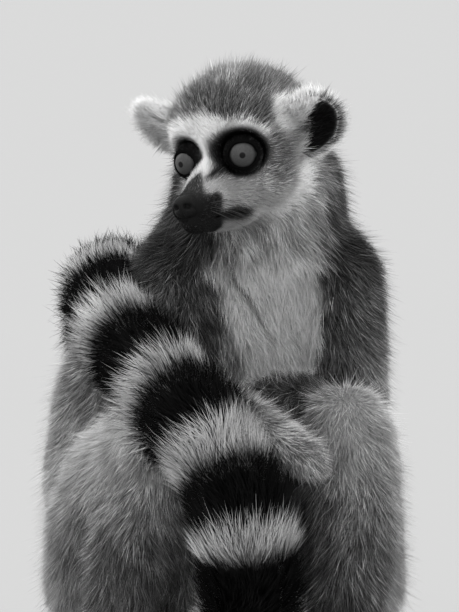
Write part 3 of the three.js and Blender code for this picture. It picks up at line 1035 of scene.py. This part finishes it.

# %% [markdown]
# ## Grizzled hair
# Each tuft takes the marking's tone where it stands, then a chance share lighter or darker,
# which gives the grizzled look. Folds between the limbs get painted shade, by how open they are.

# %% Tone of the tufts
SPECKLE = {"head": 0.62, "trunk": 0.55, "neck": 0.52, "upper_arm": 0.58, "forearm": 0.60,
           "thigh": 0.50, "shin": 0.55}
PALE_SPECKLE = 0.10
# A tuft's root is darker: painted shade deep in the coat. Its lighter tip is partly the hair's own grizzled
# band and partly painted glow of backlit hair.
SHADES = dict(dark=(0.5, 0.8, 1.6), pale=(0.85, 0.97, 1.1))  # root, middle and tip of a tuft
DARK_TONE, PALE_TONE = 0.1, 0.5
MOTTLE, MOTTLE_SIZE = 0.16, 14
FOLD_SHADE = [(0.30, 0.36), (0.75, 1.0), (1.0, 1.12)]
tone = tone_at(roots, root_nodes)
root_openness = (openness[skin_faces[root_face]] * shares[..., 0]).sum(1)
on_body = ~np.isin(root_kinds, ("head", "jaw", "nose", "ear", "tail"))
fold_shade = np.interp(root_openness[on_body], *zip(*FOLD_SHADE))  # painted shade in the folds, and a little painted light where most open
tone[on_body] *= blend(fold_shade, 1, np.clip((tone[on_body] - 0.4) * 1.6, 0, 0.75))
speckle = np.where(tone > 0.35, PALE_SPECKLE, [SPECKLE.get(str(k), 0.15) for k in root_kinds])
grizzle = rng.normal(0, 1, count) + shade_of_lock / LOCK_SHADE * np.where(root_kinds == "head", 0.2, 0.3)
tone = tone * np.exp(grizzle * speckle + MOTTLE * waves(roots, MOTTLE_SIZE, 5))
# Guard hairs painted paler: painted glow of backlit hair at the coat's rim.
tone[guard & (tone > 0.03) & ~np.isin(root_kinds, ("tail", "head"))] *= GUARD_PALER
tone = np.minimum(tone, 0.95)


def shades(tone):
    """The tones of a tuft's root, middle and tip, from its own tone, with painted shade at the root."""
    pale = np.clip((tone - DARK_TONE) / (PALE_TONE - DARK_TONE), 0, 1)[:, None]
    factors = np.array(SHADES["dark"]) * (1 - pale) + np.array(SHADES["pale"]) * pale
    return np.minimum(tone[:, None] * factors, 0.97)


print("tuft tones", np.percentile(tone, (5, 50, 95)).round(3))

# %% [markdown]
# ## A place for each tuft on the baked map
# Each piece's colours can be baked into an image by its UV map named OFBake. A tuft is a
# patch of that map, at the place of its root on an unwrap of the skin. The skin is unwrapped on
# a coarse copy, which is quick, and each root finds its place on the nearest triangle.

# %% Unwrap
PATCH_SIZE = 0.003
CHART_SHARE = 0.12
chart = skin.copy()
chart.data = skin.data.copy()
bpy.context.scene.collection.objects.link(chart)
chart.modifiers.new("coarser", "DECIMATE").ratio = CHART_SHARE
baked(chart)
bpy.context.view_layer.objects.active = chart
chart.select_set(True)
bpy.ops.object.mode_set(mode="EDIT")
bpy.ops.mesh.select_all(action="SELECT")
bpy.ops.uv.smart_project(angle_limit=math.radians(66), island_margin=0.004)
bpy.ops.object.mode_set(mode="OBJECT")
chart_points, chart_faces, _ = mesh_arrays(chart)
corner_uv = np.empty(len(chart.data.loops) * 2, np.float32)
chart.data.uv_layers.active.data.foreach_get("uv", corner_uv)
corner_of = np.empty(len(chart.data.loop_triangles) * 3, np.int32)
chart.data.loop_triangles.foreach_get("loops", corner_of)
chart_uv = corner_uv.reshape(-1, 2)[corner_of].reshape(-1, 3, 2)
bpy.data.objects.remove(chart)

chart_tree = BVHTree.FromPolygons(chart_points.tolist(), chart_faces.tolist())
found = [chart_tree.find_nearest(p) for p in roots.tolist()]
on_face = np.array([f[2] for f in found])
corner = chart_points[chart_faces[on_face]]
u, v = corner[:, 1] - corner[:, 0], corner[:, 2] - corner[:, 0]
w = np.array([f[0] for f in found]) - corner[:, 0]
uu, uv, vv, wu, wv = ((p * q).sum(1) for p, q in ((u, u), (u, v), (v, v), (w, u), (w, v)))
scale = np.maximum(uu * vv - uv**2, 1e-9)
second, third = (vv * wu - uv * wv) / scale, (uu * wv - uv * wu) / scale
weights = np.clip(np.stack([1 - second - third, second, third], 1), 0, 1)[..., None]
root_uv = (chart_uv[on_face] * weights).sum(1)
print("chart triangles:", len(chart_faces))

# %% [markdown]
# ## Tufts into meshes
# The tufts are joined into a few meshes, each small enough to load with ease. The lower and
# the upper tufts of a long part go into different pieces.

# %% Pieces of the coat
COATS = {"head": ("head", "jaw", "nose"), "ears": ("ear",), "neck": ("neck",), "trunk": ("trunk",),
         "arms": ("upper_arm", "forearm"), "legs": ("thigh", "shin"), "paws": ("hand", "foot"),
         "tail": ("tail",)}
MOST_TRIANGLES = 195000
SPINDLE = np.array([[0, 2, 1], [0, 3, 2], [0, 1, 3], [4, 1, 2], [4, 2, 3], [4, 3, 1]])
SPIKE = np.array([[0, 2, 1], [3, 0, 1], [3, 1, 2], [3, 2, 0]])
SPINDLE_UV = np.array([[-0.5, -0.5], [0.5, -0.5], [0.5, 0.5], [-0.5, 0.5], [0.0, 0.0]]) * PATCH_SIZE
SPIKE_UV = SPINDLE_UV[[0, 1, 2, 4]]
ring = [side * half, -side * half, over * half * 0.8]
spindles = np.stack([start, *[knee + r for r in ring], tips], 1)
spikes = np.stack([*[start + r * 1.2 for r in ring], tips], 1)
spindle_tones = shades(tone)[:, [0, 1, 1, 1, 2]]
spike_tones = shades(tone)[:, [1, 1, 1, 2]]
for shapes in (spindles, spikes):
    shapes[..., 2] = np.maximum(shapes[..., 2], FLOOR_GAP)


def coat_piece(name, own, shapes, faces, tones, patch):
    """One mesh of the tufts whose numbers are given."""
    each = shapes.shape[1]
    triangles = (faces + each * np.arange(len(own))[:, None, None]).reshape(-1, 3)
    coat = new_mesh(name, shapes[own].reshape(-1, 3), triangles)
    laid_down = coat.data.attributes.new("tone", "FLOAT", "POINT").data
    laid_down.foreach_set("value", tones[own].astype(np.float32).ravel())
    places = (root_uv[own][:, None] + patch)[:, faces.ravel()]
    coat.data.uv_layers.new(name="OFBake").data.foreach_set("uv", places.astype(np.float32).ravel())
    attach(coat, "root")
    return coat


coats = {}
for name, kinds in COATS.items():
    members = np.flatnonzero(np.isin(root_kinds, kinds))
    members = members[np.argsort(roots[members, 2], kind="stable")]
    short = kinds[0] not in BENT_KINDS
    kit = (spikes, SPIKE, spike_tones, SPIKE_UV) if short else (spindles, SPINDLE, spindle_tones, SPINDLE_UV)
    parts = math.ceil(len(members) * len(kit[1]) / MOST_TRIANGLES)
    for number, own in enumerate(np.array_split(members, parts)):
        label = "coat_" + name + ("_" + str(number + 1) if parts > 1 else "")
        coats[label] = coat_piece(label, own, *kit)
print({name: len(coat.data.polygons) for name, coat in coats.items()})
print("coat triangles:", sum(len(coat.data.polygons) for coat in coats.values()))

# %% [markdown]
# ## Materials
# Shader maths reads best as plain sums, so a small class stands for a value inside a material
# and builds the node for each sum, product or comparison.

# %% Values inside a material
class Value:
    """A number or colour that a material works out."""

    def __init__(self, tree, socket):
        self.tree, self.socket = tree, socket

    def node(self, kind, settings=(), output=0, **inputs):
        """A value from any other node. Inputs go by name, with _ for a space."""
        made = self.tree.nodes.new("ShaderNode" + kind)
        for key, setting in dict(settings).items():
            setattr(made, key, setting)
        for key, given in inputs.items():
            self.plug(given, made.inputs[key.replace("_", " ")])
        return Value(self.tree, made.outputs[output])

    def plug(self, given, socket):
        if isinstance(given, Value):
            self.tree.links.new(given.socket, socket)
        else:
            socket.default_value = given

    def math(self, operation, *values):
        made = self.tree.nodes.new("ShaderNodeMath")
        made.operation = operation
        for given, socket in zip(values, made.inputs):
            self.plug(given, socket)
        return Value(self.tree, made.outputs[0])

    def __add__(self, other):
        return self.math("ADD", self, other)

    def __radd__(self, other):
        return self.math("ADD", other, self)

    def __sub__(self, other):
        return self.math("SUBTRACT", self, other)

    def __rsub__(self, other):
        return self.math("SUBTRACT", other, self)

    def __mul__(self, other):
        return self.math("MULTIPLY", self, other)

    def __rmul__(self, other):
        return self.math("MULTIPLY", other, self)

    def __truediv__(self, other):
        return self.math("DIVIDE", self, other)

    def __rtruediv__(self, other):
        return self.math("DIVIDE", other, self)

    def below(self, limit, softness):
        """1 where this value is under the limit, 0 over it, with a soft step."""
        step = (limit - self) / softness + 0.5
        return step.math("MAXIMUM", step.math("MINIMUM", step, 1.0), 0.0)


def material(name, build, **constants):
    """A material. build(start) returns the values that change over the surface, by input name."""
    made = bpy.data.materials.new(name)
    made.use_nodes = True
    tree = made.node_tree
    shader = tree.nodes["Principled BSDF"]
    for key, constant in constants.items():
        shader.inputs[key.replace("_", " ")].default_value = constant
    start = Value(tree, None)
    for key, given in build(start).items():
        start.plug(given, shader.inputs[key])
    return made


print("a Value can do:", [name.strip("_") for name in vars(Value) if callable(getattr(Value, name))])

# %% [markdown]
# ## What each surface is like
# Fur and skin take their tone from the mesh. The iris has fine streaks, a dark rim and a round
# pupil. The nose is dark and pebbled.

# %% Fur, skin, eyes, nose, nails
def painted(start):
    """The tone laid down on the mesh, with a fine unevenness."""
    tone = start.node("Attribute", {"attribute_name": "tone"}, output=2)
    grain = start.node("TexNoise", Scale=900.0, Detail=1.0)
    return tone * (0.82 + grain * 0.36)


def hair_look(start):
    return {"Base Color": painted(start)}


def skin_look(start):
    grain = start.node("TexNoise", Scale=1600.0, Detail=2.0)
    bump = start.node("Bump", Strength=0.6, Distance=0.0003, Height=grain)
    return {"Base Color": painted(start), "Normal": bump}


IRIS_RADIUS, PUPIL_RADIUS = 6.1, 1.5
PAD_TONE = 0.015  # bare palms and soles


def eye_look(start):
    place = start.node("Attribute", {"attribute_name": "iris"}, output=1)
    from_axis = place.node("SeparateXYZ", output=2, Vector=place)
    streaks = place.node("TexNoise", Vector=place, Scale=5.0, Detail=3.0)
    ring = from_axis.below(IRIS_RADIUS - 0.5, 1.2) * 0.75 + 0.25
    tone = (0.014 + streaks * 0.060) * ring
    tone = tone + from_axis.below(2.6, 1.6) * 0.004
    tone = tone * (1 - from_axis.below(PUPIL_RADIUS, 0.35)) * from_axis.below(IRIS_RADIUS, 0.5)
    return {"Base Color": tone + 0.004}


def bare_look(start):
    pebbles = start.node("TexVoronoi", Scale=2600.0)
    bump = start.node("Bump", Strength=0.5, Distance=0.0002, Height=pebbles)
    fine = start.node("TexNoise", Scale=700.0)
    return {"Base Color": 0.005 + fine * 0.006, "Normal": bump}


def nail_look(start):
    fine = start.node("TexNoise", Scale=500.0)
    return {"Base Color": 0.03 + fine * 0.03}


def whisker_look(start):
    fine = start.node("TexNoise", Scale=100.0)
    return {"Base Color": 0.02 + fine * 0.02}


fur = material("fur", hair_look, Roughness=0.9, Specular_IOR_Level=0.0)
hide = material("skin", skin_look, Roughness=0.9, Specular_IOR_Level=0.0)
glossy_eye = material("eye", eye_look, Roughness=0.5, Specular_IOR_Level=0.05,
                      Coat_Weight=0.16, Coat_Roughness=0.02)
bare_skin = material("bare skin", bare_look, Roughness=0.45, Specular_IOR_Level=0.05)
horn = material("nail", nail_look, Roughness=0.35)
bristle = material("whisker", whisker_look, Roughness=0.5)

# The skin takes the roots' tone, painted shade deep in the coat, and a further 0.9 of painted shade under the
# hair.
skin_shade = shades(tone_at(skin_points, skin_nodes))[:, 0] * 0.9
pads = np.isin(np.array(node_kinds)[skin_nodes], ("hand", "foot")) & (skin_normals[:, 2] < -0.35)
skin_shade[pads] = PAD_TONE
skin.data.attributes.new("tone", "FLOAT", "POINT").data.foreach_set("value", skin_shade.astype(np.float32))
skin.data.materials.append(hide)
for coat in coats.values():
    coat.data.materials.append(fur)
print("materials:", len(bpy.data.materials))

# %% [markdown]
# ## Eyes
# Each eye is a ball with the clear front's bulge on it. The iris is painted by the distance
# from the line of sight, with streaks round it, and a glossy coat gives the wet look.

# %% Eyeballs
CORNEA = dict(radius=7.4, forward=1.9)
EYE_RINGS, EYE_SEGMENTS = 56, 72


def closed_rings(number, first, last):
    """Triangles of a closed shape: rows of point numbers, one for each ring, and a point at each end."""
    a, b = number[:-1], number[1:]
    a1, b1 = np.roll(a, -1, 1), np.roll(b, -1, 1)
    faces = [np.stack(f, -1).reshape(-1, 3) for f in ((a, b, b1), (a, b1, a1))]
    start, end = number[0], number[-1]
    faces.append(np.stack([np.full_like(start, first), start, np.roll(start, -1)], 1))
    faces.append(np.stack([np.full_like(end, last), np.roll(end, -1), end], 1))
    return np.vstack(faces)


def eyeball(name, way):
    """One eye as a closed mesh, with its place on the iris stored for the material."""
    gaze = eye_gaze(way)
    across = unit(np.cross(gaze, [0, 0, 1]))
    up = np.cross(across, gaze)
    angle = np.linspace(0, 1, EYE_RINGS) ** 1.4 * math.pi
    ahead = CORNEA["forward"] * np.cos(angle)
    bulge = ahead + np.sqrt(np.maximum(CORNEA["radius"] ** 2 - CORNEA["forward"] ** 2 + ahead**2, 0))
    radius = np.where(angle < 1.2, smooth_max(bulge, np.full(EYE_RINGS, EYE_RADIUS), 0.25), EYE_RADIUS)
    rings = angle[1:-1, None]
    turns = np.linspace(0, 2 * math.pi, EYE_SEGMENTS, endpoint=False)
    spokes = np.stack([np.cos(turns), np.sin(turns)], 1)
    flat = (radius[1:-1, None] * np.sin(rings))[..., None] * spokes
    depth = np.repeat(radius[1:-1, None] * np.cos(rings), EYE_SEGMENTS, 1)
    body = flat[..., :1] * across + flat[..., 1:] * up + depth[..., None] * gaze
    points = np.vstack([gaze * radius[0], body.reshape(-1, 3), -gaze * radius[-1]])
    number = 1 + np.arange((EYE_RINGS - 2) * EYE_SEGMENTS).reshape(-1, EYE_SEGMENTS)
    # across, up and gaze are left-handed, so the triangles are turned round to face outwards
    faces = closed_rings(number, 0, len(points) - 1)[:, ::-1]
    eye = new_mesh(name + "_ball", from_head(points + eye_centre(way)), faces)
    spoke = np.vstack([[0, 0], np.tile(spokes, (EYE_RINGS - 2, 1)), [0, 0]])
    from_axis = np.concatenate([[0], np.linalg.norm(flat, axis=-1).ravel(), [0]])
    from_axis[np.concatenate([[0], depth.ravel(), [-1]]) < 0] = 20
    iris = np.hstack([spoke, from_axis[:, None]]).astype(np.float32)
    eye.data.attributes.new("iris", "FLOAT_VECTOR", "POINT").data.foreach_set("vector", iris.ravel())
    eye.data.shade_smooth()
    eye.data.materials.append(glossy_eye)
    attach(eye, "root")
    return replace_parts(eye, name)


eyes = {side: eyeball("eye_" + side, way) for side, way in SIDES.items()}
print({name: len(eye.data.polygons) for name, eye in eyes.items()})

# %% [markdown]
# ## Nose
# The bare tip of the nose is a soft block with two comma-shaped nostrils and a groove that
# runs down to the lip. Each is a dent in one closed shape.

# %% Nose
NOSE_AT, NOSE_HALVES = np.array([0, -35.3, -18.5]), (6.6, 5.6, 5.7)
NOSTRIL = dict(line=[(3.0, -41.0, -18.0), (4.2, -40.2, -18.3)], radius=1.25, deep=2.6)
NOSTRIL_SLIT = dict(line=[(4.2, -40.2, -18.5), (6.9, -36.2, -20.4)], radius=0.4, deep=1.2)
PHILTRUM = dict(line=[(0, -41.5, -18.5), (0, -39, -25)], radius=0.45, deep=0.5)
NOSE_GRID = (70, 110)


def dent(points, mark):
    """How deep a mark's dent is at points of the head's frame."""
    both = np.stack([np.abs(points[:, 0]), points[:, 1], points[:, 2]], 1)
    return mark["deep"] * edge(line_distance(both, mark["line"]) - mark["radius"], 0.45)


tall, round_about = NOSE_GRID
rise = np.linspace(0, math.pi, tall)[1:-1, None]
turns = np.linspace(0, 2 * math.pi, round_about, endpoint=False)
rays = np.stack([np.sin(rise) * np.cos(turns), np.sin(rise) * np.sin(turns), np.cos(rise) + 0 * turns], -1)
rays = np.vstack([[0, 0, 1], rays.reshape(-1, 3), [0, 0, -1]])
box = (np.abs(rays / NOSE_HALVES) ** 2.6).sum(1) ** (-1 / 2.6)
nose_points = NOSE_AT + rays * box[:, None]
nose_points -= rays * sum(dent(nose_points, mark) for mark in (NOSTRIL, NOSTRIL_SLIT, PHILTRUM))[:, None]
number = 1 + np.arange((tall - 2) * round_about).reshape(-1, round_about)
nose = new_mesh("nose_tip", from_head(nose_points), closed_rings(number, 0, len(rays) - 1))
nose.data.shade_smooth()
nose.data.materials.append(bare_skin)
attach(nose, "root")
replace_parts(nose, "nose")
print("nose:", len(nose.data.polygons), "triangles")

# %% [markdown]
# ## Whiskers and nails
# Both are one small piece set out many times, by one Geometry Nodes group: a copy at each point,
# turned as the point says and a little different in size.

# %% The group that sets out copies
def copies_group():
    group = bpy.data.node_groups.new("Set out copies", "GeometryNodeTree")
    for name, kind in (("Points", "Geometry"), ("Piece", "Object"), ("Material", "Material"),
                       ("Spread", "Float"), ("Seed", "Int")):
        group.interface.new_socket(name, in_out="INPUT", socket_type="NodeSocket" + kind)
    group.interface.new_socket("Copies", in_out="OUTPUT", socket_type="NodeSocketGeometry")
    node = {}
    for key, kind in (("given", "NodeGroupInput"), ("result", "NodeGroupOutput"),
                      ("piece", "GeometryNodeObjectInfo"), ("turn", "GeometryNodeInputNamedAttribute"),
                      ("turned", "FunctionNodeEulerToRotation"), ("size", "FunctionNodeRandomValue"),
                      ("least", "ShaderNodeMath"), ("most", "ShaderNodeMath"),
                      ("copy", "GeometryNodeInstanceOnPoints"), ("real", "GeometryNodeRealizeInstances"),
                      ("paint", "GeometryNodeSetMaterial")):
        node[key] = group.nodes.new(kind)
    node["turn"].data_type = "FLOAT_VECTOR"
    node["turn"].inputs["Name"].default_value = "turn"
    node["size"].data_type = "FLOAT"
    node["least"].operation = "SUBTRACT"
    node["most"].operation = "ADD"
    size_inputs = [socket for socket in node["size"].inputs if socket.enabled]
    wires = [
        (node["given"].outputs["Points"], node["copy"].inputs["Points"]),
        (node["given"].outputs["Piece"], node["piece"].inputs["Object"]),
        (node["piece"].outputs["Geometry"], node["copy"].inputs["Instance"]),
        (next(s for s in node["turn"].outputs if s.enabled), node["turned"].inputs[0]),
        (node["turned"].outputs[0], node["copy"].inputs["Rotation"]),
        (node["given"].outputs["Spread"], node["least"].inputs[1]),
        (node["given"].outputs["Spread"], node["most"].inputs[1]),
        (node["least"].outputs[0], size_inputs[0]),
        (node["most"].outputs[0], size_inputs[1]),
        (node["given"].outputs["Seed"], node["size"].inputs["Seed"]),
        (next(s for s in node["size"].outputs if s.enabled), node["copy"].inputs["Scale"]),
        (node["copy"].outputs["Instances"], node["real"].inputs["Geometry"]),
        (node["real"].outputs["Geometry"], node["paint"].inputs["Geometry"]),
        (node["given"].outputs["Material"], node["paint"].inputs["Material"]),
        (node["paint"].outputs["Geometry"], node["result"].inputs["Copies"]),
    ]
    node["least"].inputs[0].default_value = 1.0
    node["most"].inputs[0].default_value = 1.0
    for start, end in wires:
        group.links.new(start, end)
    return group


COPIES = copies_group()
print("group:", COPIES.name, "with", len(COPIES.nodes), "nodes")


def set_out(name, piece, at, turns, look, spread, seed):
    """A mesh of copies of piece at places in mm, each turned by Euler angles."""
    mesh = bpy.data.meshes.new(name)
    mesh.from_pydata((np.asarray(at) * MM).tolist(), [], [])
    mesh.attributes.new("turn", "FLOAT_VECTOR", "POINT").data.foreach_set("vector", np.float32(turns).ravel())
    holder = bpy.data.objects.new(name + " points", mesh)
    bpy.context.scene.collection.objects.link(holder)
    modifier = holder.modifiers.new("copies", "NODES")
    modifier.node_group = COPIES
    given = {"Piece": piece, "Material": look, "Spread": spread, "Seed": seed}
    for socket in COPIES.interface.items_tree:
        if socket.name in given:
            modifier[socket.identifier] = given[socket.name]
    bpy.context.view_layer.update()
    made = bpy.data.meshes.new_from_object(holder.evaluated_get(bpy.context.evaluated_depsgraph_get()))
    bpy.data.objects.remove(holder)
    bpy.data.objects.remove(piece)
    result = bpy.data.objects.new(name, made)
    bpy.context.scene.collection.objects.link(result)
    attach(result, "root")
    return result


def facing(direction, upward):
    """Euler angles that take +Z to a direction and +X towards another, in the model's frame."""
    z = unit(np.asarray(direction, float))
    x = unit(np.asarray(upward, float) - z * (z @ upward))
    return list(Matrix(np.stack([x, np.cross(z, x), z], 1).tolist()).to_euler())


def tube(name, line, sides):
    """A closed tapering tube along a line of rows x, z, radius, in mm."""
    x, z, radius = np.array(line, float).T
    turns = np.linspace(0, 2 * math.pi, sides, endpoint=False)
    rings = np.stack([x[:, None] + radius[:, None] * np.cos(turns), radius[:, None] * np.sin(turns),
                      z[:, None] + 0 * turns], -1)
    points = np.vstack([rings.reshape(-1, 3), rings[0].mean(0), rings[-1].mean(0)])
    number = np.arange(len(line) * sides).reshape(-1, sides)
    return new_mesh(name, points, closed_rings(number, number.size, number.size + 1)[:, ::-1])


# %% [markdown]
# ## Whiskers
# Twelve whiskers on each side stand in three rows on the pads beside the nose.

# %% Whiskers
WHISKER = [(0, -1, 0.11), (0.1, 4, 0.1), (0.6, 10, 0.08), (1.8, 16, 0.06), (3.4, 21, 0.03)]
WHISKER_ROWS = [(y, z) for z in (-18.5, -21, -23.2) for y in (-31, -27.5, -24, -20.5)]
whisker_rng = np.random.default_rng(5)

whisker_at, whisker_turns = [], []
for way in SIDES.values():
    roots_here = [(12, y, z) for y, z in WHISKER_ROWS]
    for x, y, z in roots_here:
        looked = Vector((from_head(np.array([way * x, y, z])) * MM).tolist())
        spot, normal, _, _ = skin_tree.find_nearest(looked)
        out = np.array(normal)
        lean = np.array([way * 0.5, 0.55, -0.35])
        out = unit(out * 0.8 + lean @ HEAD_AXES.T + whisker_rng.normal(0, 0.10, 3))
        down = HEAD_AXES @ np.array([0, 0.4, -1.0])
        whisker_at.append(np.array(spot) / MM)
        whisker_turns.append(facing(out, down))
whiskers = set_out("whiskers", tube("whisker", WHISKER, 4), whisker_at, whisker_turns, bristle, 0.28, 2)
print("whiskers:", len(whisker_at), "of", len(whiskers.data.polygons), "triangles")

# %% [markdown]
# ## Nails
# Each paw has four flat nails and one on its thumb or big toe. Their places are worked out
# from the sizes that the paws were built to.

# %% Nails
NAIL = [(0.2, -2.2, 0.5), (0.1, -1.2, 1.25), (0.0, 0.3, 1.5), (-0.1, 1.6, 1.3), (-0.3, 2.5, 0.5)]
NAIL_FLAT = 0.42  # thickness as a share of width
PAWS = {
    "hand_left": dict(at=(20, -79, 149), points=(-0.15, -0.2, -0.97), palm=(-0.2, 0.95, -0.1)),
    "hand_right": dict(at=(49, -114, 121), points=(-0.82, 0.28, -0.5), palm=(-0.3, 0.8, 0.5)),
    "foot_left": dict(at=(70, -46, 7.5), points=(0.2, -0.98, 0), palm=(0, 0, -1)),
    "foot_right": dict(at=(-48, -56, 7.5), points=(-0.22, -0.98, 0), palm=(0, 0, -1)),
}
PAW_SIZES = {
    "hand": dict(palm=24, wide=10, thick=5.5, finger=3.4, reach=(21, 27, 29, 25), thumb=15),
    "foot": dict(palm=54, wide=13, thick=8, finger=4.4, reach=(24, 30, 32, 27), thumb=21),
}


def nail_places(name):
    """Where the nails of a paw lie, the way that they point and the way that they face."""
    paw, size = PAWS[name], PAW_SIZES[name.split("_")[0]]
    way = SIDES[name.split("_")[1]]
    back = -unit(np.array(paw["points"], float))
    side = unit(np.cross(back, -np.array(paw["palm"], float)))
    own = np.stack([side, back, np.cross(side, back)], 1)
    places = []
    for k, length in enumerate(size["reach"]):
        fan = way * (size["wide"] - size["finger"] * 0.6) * (k / 1.5 - 1)
        over = -size["thick"] * 0.35 + size["finger"] * 0.62
        places.append((fan * 1.35, -size["palm"] - length - 0.2, over))
    thumb = size["thumb"]
    places.append((-way * (size["wide"] + thumb * 0.75), -size["palm"] * 0.75 - thumb * 0.6,
                   -size["thick"] * 0.3 + size["finger"] * 0.72))
    return [np.array(paw["at"]) + own @ place for place in places], -back, own[:, 2]


nail = tube("nail", NAIL, 10)
flat_points = np.array([v.co for v in nail.data.vertices])
flat_points[:, 0] *= NAIL_FLAT
nail.data.vertices.foreach_set("co", flat_points.astype(np.float32).ravel())
nail_at, nail_turns = [], []
for name in PAWS:
    places, ahead, faces_up = nail_places(name)
    nail_at += places
    nail_turns += [facing(ahead - faces_up * 0.25, faces_up)] * len(places)
nails = set_out("nails", nail, nail_at, nail_turns, horn, 0.08, 4)
print("nails:", len(nail_at))

# %% [markdown]

# %% [markdown]
